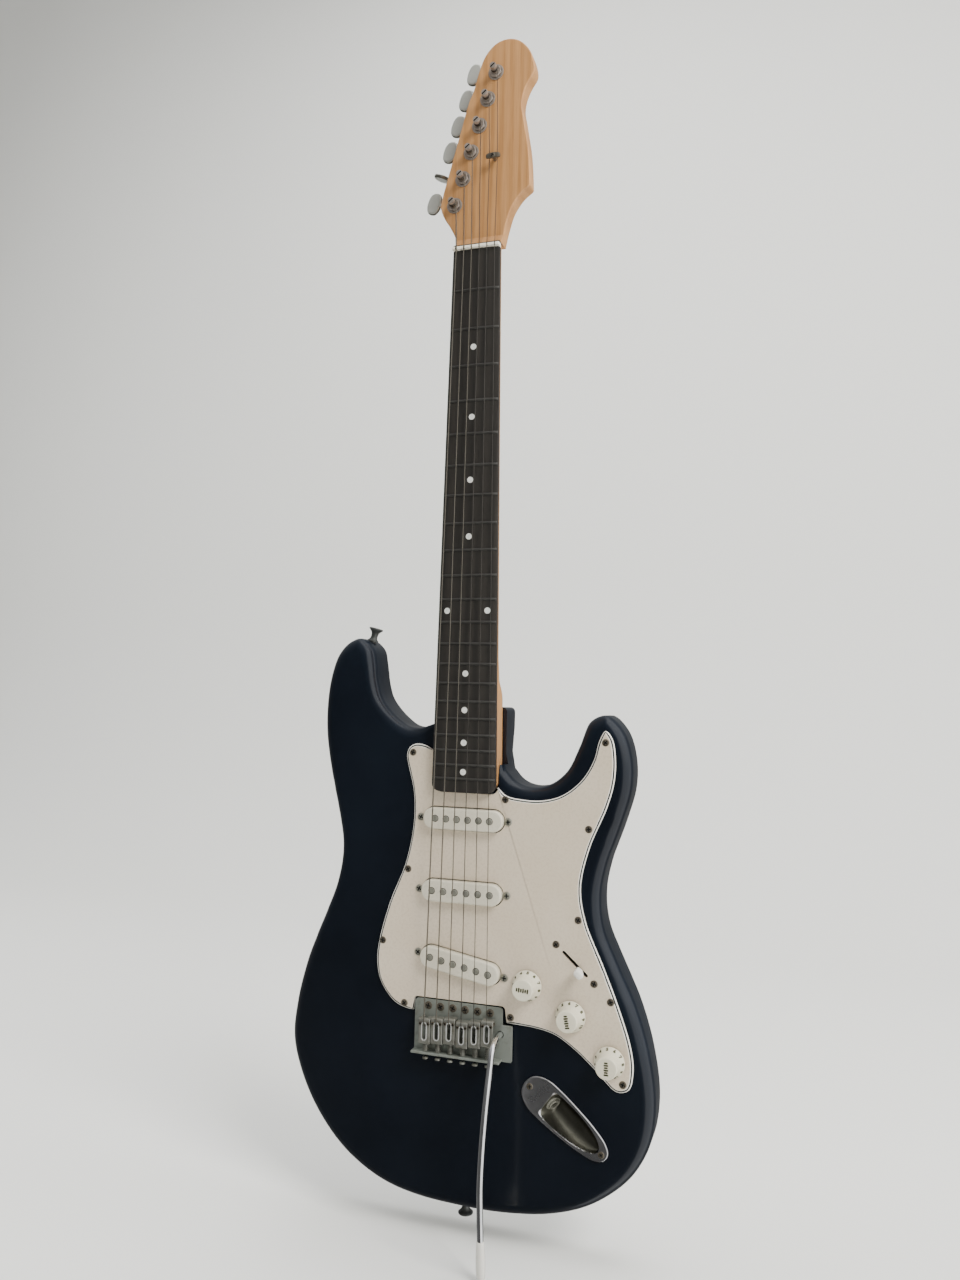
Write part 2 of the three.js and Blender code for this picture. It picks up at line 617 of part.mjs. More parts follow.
place(piece("body", makeBody(), NAVY_LACQUER), 0, 0, 0);
place(piece("neck", makeNeck(), MAPLE), 0, 0, 0);
place(piece("fingerboard", makeFingerboard(), ROSEWOOD), 0, 0, 0);
place(piece("nut", makeNut(), IVORY), 0, 0, 0);
place(piece("neck_plate", makeNeckPlate(), CHROME), 0, 0, 0);
place(piece("rear_cover", makeRearCover(), WHITE_PLASTIC), 0, 0, 0);
place(piece("pickguard", makePickguard(), WHITE_PLASTIC), 0, 0, 0);
for (const { name, z, tilt } of PICKUPS) {
  place(piece(name, makePickup(), WHITE_PLASTIC), 0, 0, z, tilt);
}
for (const { name, x, z } of KNOBS) {
  place(piece(name + "_pot", makePot(), STEEL), x, 0, z);
  place(piece(name + "_knob", makeKnob(), WHITE_PLASTIC), x, 0, z);
}

place(piece("selector_switch", makeSwitchFrame(), STEEL), SWITCH.x, 0, SWITCH.z, SWITCH.tilt);
const leverSeat = new THREE.Group();
leverSeat.position.set(SWITCH.x, SWITCH.pivotDepth, SWITCH.z);
leverSeat.rotation.y = SWITCH.tilt;
const lever = piece("selector_lever", makeLever(), WHITE_PLASTIC);
lever.rotation.z = SWITCH.throw;
leverSeat.add(lever);
guitar.add(leverSeat);

place(piece("jack_plate", makeJackPlate(), CHROME), JACK.x, 0, JACK.z, JACK.tilt);
place(piece("jack_socket", makeJackSocket(), CHROME), JACK.x, 0, JACK.z, JACK.tilt);

place(piece("bridge_plate", makeBridgePlate(), NICKEL), 0, 0, 0);
place(piece("tremolo_block", makeTremoloBlock(), STEEL), 0, 0, 0);
place(piece("tremolo_arm", makeArm(), STEEL), ARM_SOCKET.x, 0, ARM_SOCKET.z);
place(piece("spring_claw", makeSpringClaw(), STEEL), 0, 0, 0);
SPRING_X.forEach((x, i) => place(piece("tremolo_spring_" + (i + 1), makeSpring(), STEEL), x, 0, 0));

for (let i = 0; i < STRING_COUNT; i++) {
  const number = STRING_COUNT - i;
  place(piece("saddle_" + number, makeSaddle(), NICKEL), saddleStringX(i), 0, -SADDLE_SETBACK[i]);
  place(piece("string_" + number, makeString(i), STEEL), 0, 0, 0);
  const { x, z } = tunerPlace(i);
  const seat = new THREE.Group();
  seat.position.set(x, 0, z);
  seat.rotation.y = TUNER_LINE_TILT;
  seat.add(piece("tuner_housing_" + number, makeTunerHousing(), CHROME));
  seat.add(piece("tuner_post_" + number, makeTunerPost(), CHROME));
  const button = piece("tuner_button_" + number, makeTunerButton(), CHROME);
  button.position.set(0, WORM_Y, WORM_OFFSET);
  button.rotation.x = i === 1 ? 1.8 : 0;
  seat.add(button);
  guitar.add(seat);
}
place(piece("string_tree", makeStringTree(), CHROME), TREE.x, 0, TREE.z);

const upperButton = piece("upper_strap_button", makeStrapButton(), DARK_METAL);
place(upperButton, UPPER_BUTTON.x, BODY_THICKNESS / 2, UPPER_BUTTON.z, UPPER_BUTTON.tilt);
const lowerButton = piece("lower_strap_button", makeStrapButton(), DARK_METAL);
place(lowerButton, 1.4, BODY_THICKNESS / 2, -158.8);
lowerButton.rotation.x = Math.PI;

export default guitar;
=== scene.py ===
"""The electric guitar's looks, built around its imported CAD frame.

Shapes are drawn in millimetres in the drawing frame of the part: x towards the treble strings, z up the neck,
and y = 0 on the front face of the wooden body. world() turns such a point into the row frame, in metres."""
import math

import bmesh
import bpy
from mathutils import Matrix, Vector, geometry

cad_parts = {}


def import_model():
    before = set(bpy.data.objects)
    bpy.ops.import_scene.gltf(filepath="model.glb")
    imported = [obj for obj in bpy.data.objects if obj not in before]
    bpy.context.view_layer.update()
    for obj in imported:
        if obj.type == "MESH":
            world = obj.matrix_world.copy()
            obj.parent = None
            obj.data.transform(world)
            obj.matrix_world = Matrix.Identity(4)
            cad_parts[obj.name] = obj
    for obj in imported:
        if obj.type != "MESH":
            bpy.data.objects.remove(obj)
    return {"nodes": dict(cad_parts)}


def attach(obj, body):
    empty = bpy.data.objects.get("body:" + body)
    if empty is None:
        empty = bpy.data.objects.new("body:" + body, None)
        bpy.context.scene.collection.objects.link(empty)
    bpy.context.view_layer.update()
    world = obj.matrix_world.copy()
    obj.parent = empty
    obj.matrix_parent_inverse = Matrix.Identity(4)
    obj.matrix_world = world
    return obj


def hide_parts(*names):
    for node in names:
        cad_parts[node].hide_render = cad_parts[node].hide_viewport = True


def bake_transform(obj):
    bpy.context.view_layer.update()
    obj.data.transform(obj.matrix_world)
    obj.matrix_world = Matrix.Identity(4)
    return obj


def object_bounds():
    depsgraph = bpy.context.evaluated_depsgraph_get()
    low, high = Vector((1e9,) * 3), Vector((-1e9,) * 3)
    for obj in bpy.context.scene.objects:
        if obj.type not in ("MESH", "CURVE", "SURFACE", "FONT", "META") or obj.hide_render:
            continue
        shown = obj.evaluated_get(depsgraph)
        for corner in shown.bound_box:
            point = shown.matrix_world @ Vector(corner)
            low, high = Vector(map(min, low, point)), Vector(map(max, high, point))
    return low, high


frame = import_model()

cad_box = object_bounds()

# ---- driving dimensions, in millimetres ----
MM = 0.001
BACK = 45.0  # from the body's front face to the rear cover's outer face, which is y = 0 of the row frame
BODY_THICKNESS = 43.0
BODY_ROUND = 11.0
SCALE_LENGTH = 647.7
NUT_WIDTH = 42.0
HEEL_WIDTH = 56.0
HEEL_Z = 182.3
POCKET_DEPTH = 16.0
BODY_HEEL_Z = 253.0
ROUTE_Z = 37.5  # the middle of the rear spring route and of its cover
BOARD_FRONT = -9.5
BOARD_BACK = -4.7
BOARD_SIDE = -4.1  # the board's visible sides reach a little over the neck
BOARD_CROWN = 1.1
BOARD_END_Z = 181.2
FRET_COUNT = 21
DOT_FRETS = (3, 5, 7, 9, 12, 15, 17, 19, 21)
TWO_DOT_FRET = 12
HEAD_THICKNESS = 14.0
GUARD_FRONT = -2.8
GUARD_BACK = -0.3
STRING_RADII = [0.58, 0.5, 0.42, 0.34, 0.3, 0.27]  # lowest string first
NUT_SPACING = 7.0
NUT_STRING_Y = -11.3
SADDLE_SPACING = 10.8
SADDLE_STRING_Y = -14.4
SADDLE_SETBACK = [7.5, 6.5, 5.5, 7.0, 5.5, 3.5]
PLATE_FRONT = -4.2
PLATE_BACK = -2.2
STRING_HOLE_Z = -15.0
PIVOT_Z = 3.6
INTONATION_Y = -8.6
ARM_X = 36.0
ARM_Z = -12.5
PICKUPS = {"neck": (158.7, 0.0), "middle": (98.7, 0.0), "bridge": (39.4, 0.178)}  # place up the neck and tilt
PICKUP_FRONT = -8.7
POLE_SPACING = {"neck": 9.55, "middle": 10.12, "bridge": 10.3}
KNOBS = {"volume": (57.5, 28.8), "neck_tone": (93.8, 8.7), "middle_tone": (125.6, -22.7)}
SWITCH_X, SWITCH_Z, SWITCH_TILT, SWITCH_DEPTH = 96.4, 49.7, 0.724, 17.2
SWITCH_THROW = math.radians(13)
JACK_X, JACK_Z, JACK_TILT = 90.0, -72.7, 2.213
JACK_FACE = -1.85
TUNER_SPACING = 24.3
TUNER_TILT = math.radians(17)
FIRST_POST_X, FIRST_POST_Z = -24.0, 693.5
WORM_OFFSET = 6.5
WORM_Y = 19.7
BUTTON_REACH = 30.0
POST_STRING_Y = -5.4
POST_NECK = 2.55  # the post's radius where the string winds
TREE_X, TREE_Z = 12.6, 730.0
TREMOLO_SPRING_Y = 34.5


def world(point):
    """A point of the drawing, in the row frame and in metres."""
    return Vector((point[0], point[1] - BACK, point[2])) * MM


# ---- materials ----

def add_node(tree, kind, inputs, **settings):
    """A shader node with its settings, and with its inputs set to values or linked to sockets."""
    node = tree.nodes.new("ShaderNode" + kind)
    for name, value in settings.items():
        setattr(node, name, value)
    for name, value in inputs.items():
        if isinstance(value, bpy.types.NodeSocket):
            tree.links.new(value, node.inputs[name])
        else:
            node.inputs[name].default_value = value
    return node


class Look:
    """A procedural material under construction."""

    def __init__(self, name, color, roughness, metallic=0.0, coat=0.0, coat_roughness=0.05):
        self.material = bpy.data.materials.new(name)
        self.material.use_nodes = True
        self.material.diffuse_color = (*color, 1.0)
        self.tree = self.material.node_tree
        self.shader = self.tree.nodes["Principled BSDF"]
        self.set("Base Color", (*color, 1.0))
        self.set("Roughness", roughness)
        self.set("Metallic", metallic)
        self.set("Coat Weight", coat)
        self.set("Coat Roughness", coat_roughness)
        self.place = self.add("TexCoord", {}).outputs["Object"]

    def set(self, name, value):
        self.shader.inputs[name].default_value = value

    def add(self, kind, inputs, **settings):
        return add_node(self.tree, kind, inputs, **settings)

    def stretched(self, scale):
        return self.add("Mapping", {"Vector": self.place, "Scale": scale}).outputs["Vector"]

    def texture(self, kind, stretch, inputs, **settings):
        return self.add(kind, {"Vector": self.stretched(stretch)} | inputs, **settings).outputs["Fac"]

    def noise(self, scale, stretch=(1, 1, 1), detail=4.0, distortion=0.0, rough=0.55):
        inputs = {"Scale": scale, "Detail": detail, "Distortion": distortion, "Roughness": rough}
        return self.texture("TexNoise", stretch, inputs)

    def waves(self, scale, stretch=(1, 1, 1), distortion=2.0, detail=2.0, direction="X"):
        inputs = {"Scale": scale, "Detail": detail, "Distortion": distortion}
        return self.texture("TexWave", stretch, inputs, bands_direction=direction)

    def ramp(self, factor, *stops):
        """A factor through two stops of (place, value or colour)."""
        node = self.add("ValToRGB", {"Fac": factor})
        for element, (place, value) in zip(node.color_ramp.elements, stops):
            element.position = place
            element.color = (*value, 1.0) if isinstance(value, tuple) else (value, value, value, 1.0)
        return node.outputs["Color"]

    def mix(self, factor, first, second):
        node = self.add("Mix", {}, data_type="RGBA")
        sockets = [s for s in node.inputs if s.enabled]
        for socket, value in zip(sockets, (factor, first, second)):
            if isinstance(value, bpy.types.NodeSocket):
                self.tree.links.new(value, socket)
            else:
                socket.default_value = (*value, 1.0) if isinstance(value, tuple) else value
        return [s for s in node.outputs if s.enabled][0]

    def feed(self, name, socket):
        self.tree.links.new(socket, self.shader.inputs[name])

    def paint(self, socket):
        self.feed("Base Color", socket)

    def rough(self, factor, low, high):
        spread = self.add("MapRange", {"Value": factor, "To Min": low, "To Max": high})
        self.feed("Roughness", spread.outputs["Result"])

    def bump(self, factor, strength, distance):
        dents = self.add("Bump", {"Height": factor, "Strength": strength, "Distance": distance})
        self.feed("Normal", dents.outputs["Normal"])


def make_lacquer():
    look = Look("navy_lacquer", (0.004, 0.006, 0.013), 0.4, coat=0.6, coat_roughness=0.17)
    look.set("Specular IOR Level", 0.12)
    drift = look.noise(9.0, detail=3.0)
    look.paint(look.ramp(drift, (0.3, (0.0024, 0.0042, 0.0082)), (0.7, (0.0044, 0.0076, 0.0135))))
    look.rough(look.noise(60.0, detail=6.0), 0.3, 0.5)
    look.bump(look.noise(160.0, detail=2.0), 0.03, 0.0002)
    return look.material


def make_maple(name, light, dark, gloss):
    look = Look(name, light, 0.45, coat=gloss, coat_roughness=0.2)
    grain = look.waves(38.0, (1.0, 0.35, 0.045), distortion=5.5, detail=3.0)
    fleck = look.noise(900.0, (1.0, 1.0, 0.035), detail=3.0)
    broad = look.noise(14.0, (1.0, 1.0, 0.3), detail=2.0)
    base = look.ramp(grain, (0.1, dark), (0.75, light))
    aged = look.mix(0.35, base, look.ramp(broad, (0.3, dark), (0.7, light)))
    look.paint(look.mix(0.22, aged, look.ramp(fleck, (0.4, tuple(c * 0.62 for c in dark)), (0.62, light))))
    look.rough(fleck, 0.36, 0.52)
    look.bump(fleck, 0.06, 0.0001)
    return look.material


def make_rosewood():
    look = Look("rosewood", (0.03, 0.022, 0.018), 0.5)
    streak = look.noise(260.0, (1.0, 1.0, 0.03), detail=4.0)
    broad = look.waves(30.0, (1.0, 0.5, 0.03), distortion=6.0, detail=3.0)
    pores = look.noise(1500.0, (1.0, 1.0, 0.05), detail=2.0)
    base = look.ramp(broad, (0.1, (0.019, 0.0175, 0.0155)), (0.9, (0.033, 0.029, 0.025)))
    fine_streaks = look.ramp(streak, (0.35, (0.015, 0.0135, 0.012)), (0.65, (0.035, 0.031, 0.0265)))
    lined = look.mix(0.4, base, fine_streaks)
    look.paint(look.mix(look.ramp(pores, (0.3, 0.6), (0.4, 0.0)), lined, (0.008, 0.007, 0.006)))
    look.rough(pores, 0.36, 0.6)
    look.bump(pores, 0.2, 0.00012)
    return look.material


def make_plastic(name, color, roughness=0.3, grime=0.06, coat=0.3):
    look = Look(name, color, roughness, coat=coat, coat_roughness=0.12)
    cloud = look.noise(22.0, detail=5.0)
    speck = look.noise(420.0, detail=2.0)
    darker = tuple(c * (1 - grime) * w for c, w in zip(color, (1.0, 0.985, 0.95)))
    look.paint(look.ramp(cloud, (0.3, darker), (0.65, color)))
    look.rough(speck, roughness * 0.8, roughness * 1.35)
    look.bump(look.noise(700.0, detail=2.0), 0.03, 0.0001)
    return look.material


def make_metal(name, color, roughness, spots=0.0, spot_color=(0.10, 0.09, 0.07), brushed=0.0, metallic=1.0):
    look = Look(name, color, roughness, metallic=metallic)
    cloud = look.noise(55.0, detail=6.0)
    base = look.ramp(cloud, (0.3, tuple(c * 0.82 for c in color)), (0.7, color))
    if spots:
        mask = look.ramp(look.noise(130.0, detail=7.0, rough=0.7), (0.5, 0.0), (0.68, spots))
        base = look.mix(mask, base, spot_color)
    look.paint(base)
    look.rough(cloud, roughness * 0.7, roughness * 1.5)
    grain = look.noise(350.0, (1, 1, 0.04), detail=2.0) if brushed else look.noise(600.0, detail=4.0)
    look.bump(grain, 0.05 + brushed, 0.00006)
    return look.material


def make_wound():
    look = Look("wound_wire", (0.22, 0.20, 0.165), 0.45, metallic=1.0)
    turns = look.waves(520.0, distortion=0.0, detail=0.0, direction="Z")
    # The colour runs dark in the grooves between turns and pale on their ridges: painted shade and painted
    # highlight.
    look.paint(look.ramp(turns, (0.0, (0.09, 0.082, 0.066)), (0.6, (0.36, 0.33, 0.275))))
    look.bump(turns, 0.7, 0.00015)
    return look.material


def make_pearl():
    look = Look("pearl_dot", (0.80, 0.80, 0.76), 0.25, coat=0.6)
    shimmer = look.noise(420.0, detail=3.0, distortion=1.4)
    look.paint(look.ramp(shimmer, (0.3, (0.62, 0.66, 0.64)), (0.6, (0.86, 0.84, 0.78))))
    look.rough(shimmer, 0.18, 0.34)
    return look.material


LACQUER = make_lacquer()
HEAD_MAPLE = make_maple("amber_maple", (0.51, 0.265, 0.105), (0.38, 0.18, 0.062), 0.25)
ROSEWOOD = make_rosewood()
BONE = make_plastic("nut_bone", (0.84, 0.80, 0.68), 0.38, 0.10)
GUARD_WHITE = make_plastic("pickguard_white", (0.63, 0.54, 0.425), 0.26, 0.05)
PLY_WHITE = make_plastic("pickguard_white_ply", (0.86, 0.84, 0.78), 0.3, 0.03)
PLY_BLACK = make_plastic("pickguard_black_ply", (0.008, 0.008, 0.008), 0.5, 0.2, coat=0.0)
COVER_WHITE = make_plastic("aged_cover_white", (0.63, 0.59, 0.48), 0.27, 0.07)
KNOB_WHITE = make_plastic("aged_knob_white", (0.68, 0.645, 0.51), 0.3, 0.09)
KNOB_MARK = make_plastic("knob_marking", (0.045, 0.047, 0.016), 0.45, 0.2)
REAR_WHITE = make_plastic("rear_cover_white", (0.70, 0.66, 0.60), 0.3, 0.06)
TIP_WHITE = make_plastic("arm_tip_white", (0.74, 0.725, 0.68), 0.3, 0.05)
CHROME = make_metal("chrome", (0.80, 0.81, 0.82), 0.12)
# Pale metal for the rims round the saddle slots: a painted highlight.
PAINTED_HIGHLIGHT_METAL = make_metal("painted_highlight_edge", (0.70, 0.71, 0.69), 0.3, metallic=0.45)
# Much darker chrome for the jack plate's recess: painted shade in the recess; its spots are tarnish.
SHADED_RECESS_CHROME = make_metal("shaded_recess_chrome", (0.20, 0.195, 0.155), 0.34, 0.5, (0.09, 0.085, 0.06))
WORN_CHROME = make_metal("worn_chrome", (0.78, 0.77, 0.77), 0.27, 0.12, (0.5, 0.48, 0.42))
BAR_CHROME = make_metal("bar_chrome", (0.90, 0.90, 0.90), 0.09)
NICKEL = make_metal("aged_nickel", (0.40, 0.43, 0.385), 0.4, 0.6, (0.21, 0.21, 0.16), metallic=0.65)
SADDLE_STEEL = make_metal("saddle_steel", (0.32, 0.32, 0.28), 0.38, 0.7, (0.15, 0.135, 0.10), metallic=0.7)
BUTTON_METAL = make_metal("satin_button", (0.72, 0.73, 0.67), 0.3, metallic=0.6)
# Dark metal for the tuner buttons' edges: painted shade, the buttons' own metal as it looks in shade.
SHADED_BUTTON_EDGE = make_metal("shaded_button_edge", (0.24, 0.235, 0.20), 0.35, metallic=0.8)
BUSH_METAL = make_metal("aged_bushing", (0.42, 0.36, 0.31), 0.32, 0.5, (0.22, 0.18, 0.14), metallic=0.6)
STEEL = make_metal("satin_steel", (0.50, 0.50, 0.49), 0.3, brushed=0.2)
PLAIN_WIRE = make_metal("plain_wire", (0.15, 0.14, 0.125), 0.4)
WOUND_WIRE = make_wound()
FRET_WIRE = make_metal("fret_wire", (0.135, 0.132, 0.122), 0.45, metallic=0.8)
SCREW = make_metal("screw_steel", (0.20, 0.175, 0.135), 0.4, 0.6, (0.09, 0.08, 0.055), metallic=0.75)
POLE = make_metal("pole_steel", (0.36, 0.355, 0.30), 0.42, 0.5, (0.17, 0.165, 0.12), metallic=0.6)
BLACKENED = make_metal("blackened_metal", (0.10, 0.105, 0.10), 0.34, brushed=0.1, metallic=0.6)
# Black for the hollows of screw drives, slots, sockets and gaps: painted shade in them.
PAINTED_SHADE = make_plastic("painted_shade_recess", (0.006, 0.006, 0.006), 0.7, 0.2, coat=0.0)
PEARL = make_pearl()


# ---- numbers and outlines ----

def clamp(t):
    return min(max(t, 0.0), 1.0)


def ease(t):
    t = clamp(t)
    return t * t * (3 - 2 * t)


def signed_power(value, power):
    return math.copysign(abs(value) ** power, value)


def angles(steps):
    """Even angles all round."""
    return [2 * math.pi * k / steps for k in range(steps)]


def span(steps):
    """Even shares from -1 to 1."""
    return [-1 + 2 * k / steps for k in range(steps + 1)]


def shift(x, y, z):
    return Matrix.Translation(Vector((x, y, z)))


def spin(angle, axis):
    return Matrix.Rotation(angle, 4, axis)


def seat(x=0.0, y=0.0, z=0.0, tilt=0.0):
    """The place of a piece drawn about its own y axis."""
    return shift(x, y, z) @ spin(tilt, "Y")


def polygon(*points):
    return [Vector(p) for p in points]


def mirrored(points):
    """The points of one side, then the same ones of the other side on the way back."""
    return points + [(-x, z) for x, z in reversed(points)]


def outlined(knots, step, closed=False):
    """Points about step apart along a smooth curve through the knots."""
    knots = [Vector(k) for k in knots]
    count = len(knots)
    made = []
    for i in range(count if closed else count - 1):
        p1, p2 = knots[i], knots[(i + 1) % count]
        p0 = knots[i - 1] if closed or i else p1 * 2 - p2
        p3 = knots[(i + 2) % count] if closed or i + 2 < count else p2 * 2 - p1
        t1 = math.sqrt((p1 - p0).length)
        t2 = t1 + math.sqrt((p2 - p1).length)
        t3 = t2 + math.sqrt((p3 - p2).length)
        pieces = max(1, round((p2 - p1).length / step))
        for k in range(pieces):
            t = t1 + (t2 - t1) * k / pieces
            a1 = p0.lerp(p1, t / t1)
            a2 = p1.lerp(p2, (t - t1) / (t2 - t1))
            a3 = p2.lerp(p3, (t - t2) / (t3 - t2))
            b1 = a1.lerp(a2, t / t2)
            b2 = a2.lerp(a3, (t - t1) / (t3 - t1))
            made.append(b1.lerp(b2, (t - t1) / (t2 - t1)))
    return made if closed else made + [knots[-1]]


def rounded_corner(before, corner, after, radius, steps=5):
    """Points of an arc that replaces a corner."""
    corner = Vector(corner)
    a = (Vector(before) - corner).normalized()
    b = (Vector(after) - corner).normalized()
    half = a.angle(b) / 2
    reach = radius / math.tan(half)
    start, end = corner + a * reach, corner + b * reach
    centre = corner + (a + b).normalized() * radius / math.sin(half)
    made = []
    for k in range(steps + 1):
        spoke = (start - centre).lerp(end - centre, k / steps)
        made.append(centre + spoke.normalized() * radius)
    return made


def rounded_outline(points, radius, steps=5):
    """A polygon with every corner rounded. radius is one number, or one for each corner."""
    made = []
    for i, corner in enumerate(points):
        own = radius[i] if isinstance(radius, (list, tuple)) else radius
        before, after = points[i - 1], points[(i + 1) % len(points)]
        made += rounded_corner(before, corner, after, own, steps) if own else [Vector(corner)]
    return made


def rectangle(width, height, radius, x=0.0, z=0.0, steps=5):
    w, h = width / 2, height / 2
    return rounded_outline([(x + w, z - h), (x + w, z + h), (x - w, z + h), (x - w, z - h)], radius, steps)


def stadium(width, height, steps=24):
    """A bar with fully round ends, centred on the origin."""
    radius = height / 2
    made = []
    for side in (1, -1):
        for k in range(steps + 1):
            turn = -math.pi / 2 + math.pi * k / steps
            x = width / 2 - radius + radius * math.cos(turn)
            made.append(Vector((side * x, side * radius * math.sin(turn))))
    return made


def circle(radius, sides, x=0.0, z=0.0):
    return [Vector((x + radius * math.cos(t), z + radius * math.sin(t))) for t in angles(sides)]


def area(points):
    return sum(p.x * q.y - q.x * p.y for p, q in zip(points, points[1:] + points[:1])) / 2


def inward(points):
    """For each point, the step inwards that moves both its edges by one."""
    sign = 1.0 if area(points) > 0 else -1.0
    steps = []
    for i, p in enumerate(points):
        a = (p - points[i - 1]).normalized()
        b = (points[(i + 1) % len(points)] - p).normalized()
        across_a = Vector((-a.y, a.x)) * sign
        across_b = Vector((-b.y, b.x)) * sign
        middle = (across_a + across_b).normalized()
        steps.append(middle / max(0.5, middle.dot(across_a)))
    return steps


# ---- mesh tools ----

def skin(bm, rings, mat=0, capped=True):
    """Quads between rings of equal length, and a cap on each end. A material may be given for each gap."""
    rows = [[bm.verts.new(p) for p in ring] for ring in rings]
    mats = mat if isinstance(mat, list) else [mat] * (len(rows) - 1)
    for own, low, high in zip(mats, rows, rows[1:]):
        for i in range(len(low)):
            j = (i + 1) % len(low)
            bm.faces.new((low[i], low[j], high[j], high[i])).material_index = own
    if capped:
        bm.faces.new(rows[0]).material_index = mats[0]
        bm.faces.new(rows[-1]).material_index = mats[-1]
    return rows


def drawn(outline, y):
    return [Vector((p.x, y, p.y)) for p in outline]


def round_limits(points, radius, cap=None):
    """How far each rim point may move inwards, so that tight outward corners don't cross over themselves.

    cap(point) may lower it further."""
    sign = 1.0 if area(points) > 0 else -1.0
    count = len(points)
    limits = []
    for i, p in enumerate(points):
        before, after = points[i - 1], points[(i + 1) % count]
        a, b = p - before, after - p
        bend = math.atan2(a.x * b.y - a.y * b.x, a.dot(b)) * sign
        own = radius if bend <= 0 else (a.length + b.length) / 2 / bend
        limits.append(min(radius, 0.9 * own, cap(p) if cap else radius))
    for _ in range(14):
        limits = [min(limits[i], (limits[i - 1] + limits[(i + 1) % count]) / 2 + 0.12) for i in range(count)]
    return limits


def slab(bm, outline, levels, mat=0, cap=None):
    """A flat piece from its outline in x and z and levels of (y, inset). cap(point) may limit the inset."""
    steps = inward(outline)
    deepest = max(inset for _, inset in levels)
    limits = round_limits(outline, deepest, cap) if deepest else [0.0] * len(outline)
    shares = [limit / (deepest or 1.0) for limit in limits]
    rings = []
    for y, inset in levels:
        rings.append(drawn([p + s * (inset * share) for p, s, share in zip(outline, steps, shares)], y))
    return skin(bm, rings, mat)


def soft_levels(front, back, radius, back_radius=None, steps=3):
    """Levels of a slab whose front and back edges are rounded."""
    rear = radius if back_radius is None else back_radius
    turns = [math.pi / 2 * k / steps for k in range(steps + 1)]
    ahead = [(front + radius * (1 - math.cos(t)), radius * (1 - math.sin(t))) for t in turns]
    behind = [(back - rear * (1 - math.cos(t)), rear * (1 - math.sin(t))) for t in reversed(turns)]
    return ahead + (behind if rear else [(back, 0.0)])


def turned(bm, profile, sides=32, matrix=Matrix(), mat=0, flute=None):
    """A piece turned about the y axis from (radius, y) pairs. flute(angle, y) scales the radius."""
    rows = []
    for radius, y in profile:
        row = []
        for turn in angles(sides if radius else 1):
            own = radius * (flute(turn, y) if flute else 1.0)
            row.append(bm.verts.new(matrix @ Vector((own * math.cos(turn), y, own * math.sin(turn)))))
        rows.append(row)
    mats = mat if isinstance(mat, list) else [mat] * (len(rows) - 1)
    for own, low, high in zip(mats, rows, rows[1:]):
        for i in range(sides):
            j = (i + 1) % sides
            a = low if len(low) == 1 else [low[i], low[j]]
            b = high if len(high) == 1 else [high[j], high[i]]
            bm.faces.new(a + b).material_index = own


def tube(bm, points, radii, sides=12, mat=0):
    """A round tube through points, without twist. radii is one number, or one for each point."""
    points = [Vector(p) for p in points]
    radii = radii if isinstance(radii, list) else [radii] * len(points)
    across = (points[1] - points[0]).orthogonal().normalized()
    rings = []
    for i, (point, radius) in enumerate(zip(points, radii)):
        before, after = points[max(i - 1, 0)], points[min(i + 1, len(points) - 1)]
        heading = (after - before).normalized()
        across = (across - heading * across.dot(heading)).normalized()
        up = heading.cross(across)
        rings.append([point + (across * math.cos(t) + up * math.sin(t)) * radius for t in angles(sides)])
    skin(bm, rings, mat)


def coil(bm, start, end, radius, wire, turns, sides, per_turn):
    """A helical spring from start to end."""
    start, end = Vector(start), Vector(end)
    forward = (end - start).normalized()
    across = forward.orthogonal().normalized()
    up = forward.cross(across)
    count = round(turns * per_turn)
    points = []
    for k in range(count + 1):
        turn = 2 * math.pi * k / per_turn
        spoke = across * math.cos(turn) + up * math.sin(turn)
        points.append(start.lerp(end, k / count) + spoke * radius)
    tube(bm, points, wire, sides)


def softened_box(bm, low, high, radius, segments=2):
    """A box with rounded edges."""
    made = bmesh.new()
    size = [h - l for l, h in zip(low, high)]
    centre = [(h + l) / 2 for l, h in zip(low, high)]
    bmesh.ops.create_cube(made, size=1.0, matrix=Matrix.Translation(centre) @ Matrix.Diagonal((*size, 1.0)))
    if radius:
        edges = made.edges[:]
        bmesh.ops.bevel(made, geom=edges, offset=radius, segments=segments, affect="EDGES", profile=0.5)
    merge(bm, made)


def merge(bm, other, mat=None):
    """Adds one mesh to another and frees it."""
    mesh = bpy.data.meshes.new("part")
    if mat is not None:
        for face in other.faces:
            face.material_index = mat
    other.to_mesh(mesh)
    other.free()
    bm.from_mesh(mesh)
    bpy.data.meshes.remove(mesh)


def boolean(first, second, operation="DIFFERENCE"):
    """Two closed meshes as one. Both are used up."""
    objects = []
    for part in (first, second):
        bmesh.ops.recalc_face_normals(part, faces=part.faces[:])
        mesh = bpy.data.meshes.new("part")
        part.to_mesh(mesh)
        part.free()
        objects.append(bpy.data.objects.new("part", mesh))
        bpy.context.scene.collection.objects.link(objects[-1])
    change = objects[0].modifiers.new("change", "BOOLEAN")
    change.operation = operation
    change.solver = "EXACT"
    change.object = objects[1]
    depsgraph = bpy.context.evaluated_depsgraph_get()
    result = bpy.data.meshes.new_from_object(objects[0].evaluated_get(depsgraph))
    made = bmesh.new()
    made.from_mesh(result)
    for obj in objects:
        mesh = obj.data
        bpy.data.objects.remove(obj)
        bpy.data.meshes.remove(mesh)
    bpy.data.meshes.remove(result)
    return made


def block(x0, x1, y0, y1, z0, z1):
    """A plain box, as a tool to cut with."""
    made = bmesh.new()
    softened_box(made, (x0, y0, z0), (x1, y1, z1), 0)
    return made


def cutter(outline, y0, y1, matrix=Matrix()):
    """A straight prism, as a tool to cut with."""
    made = bmesh.new()
    slab(made, outline, [(y0, 0), (y1, 0)])
    made.transform(matrix)
    return made


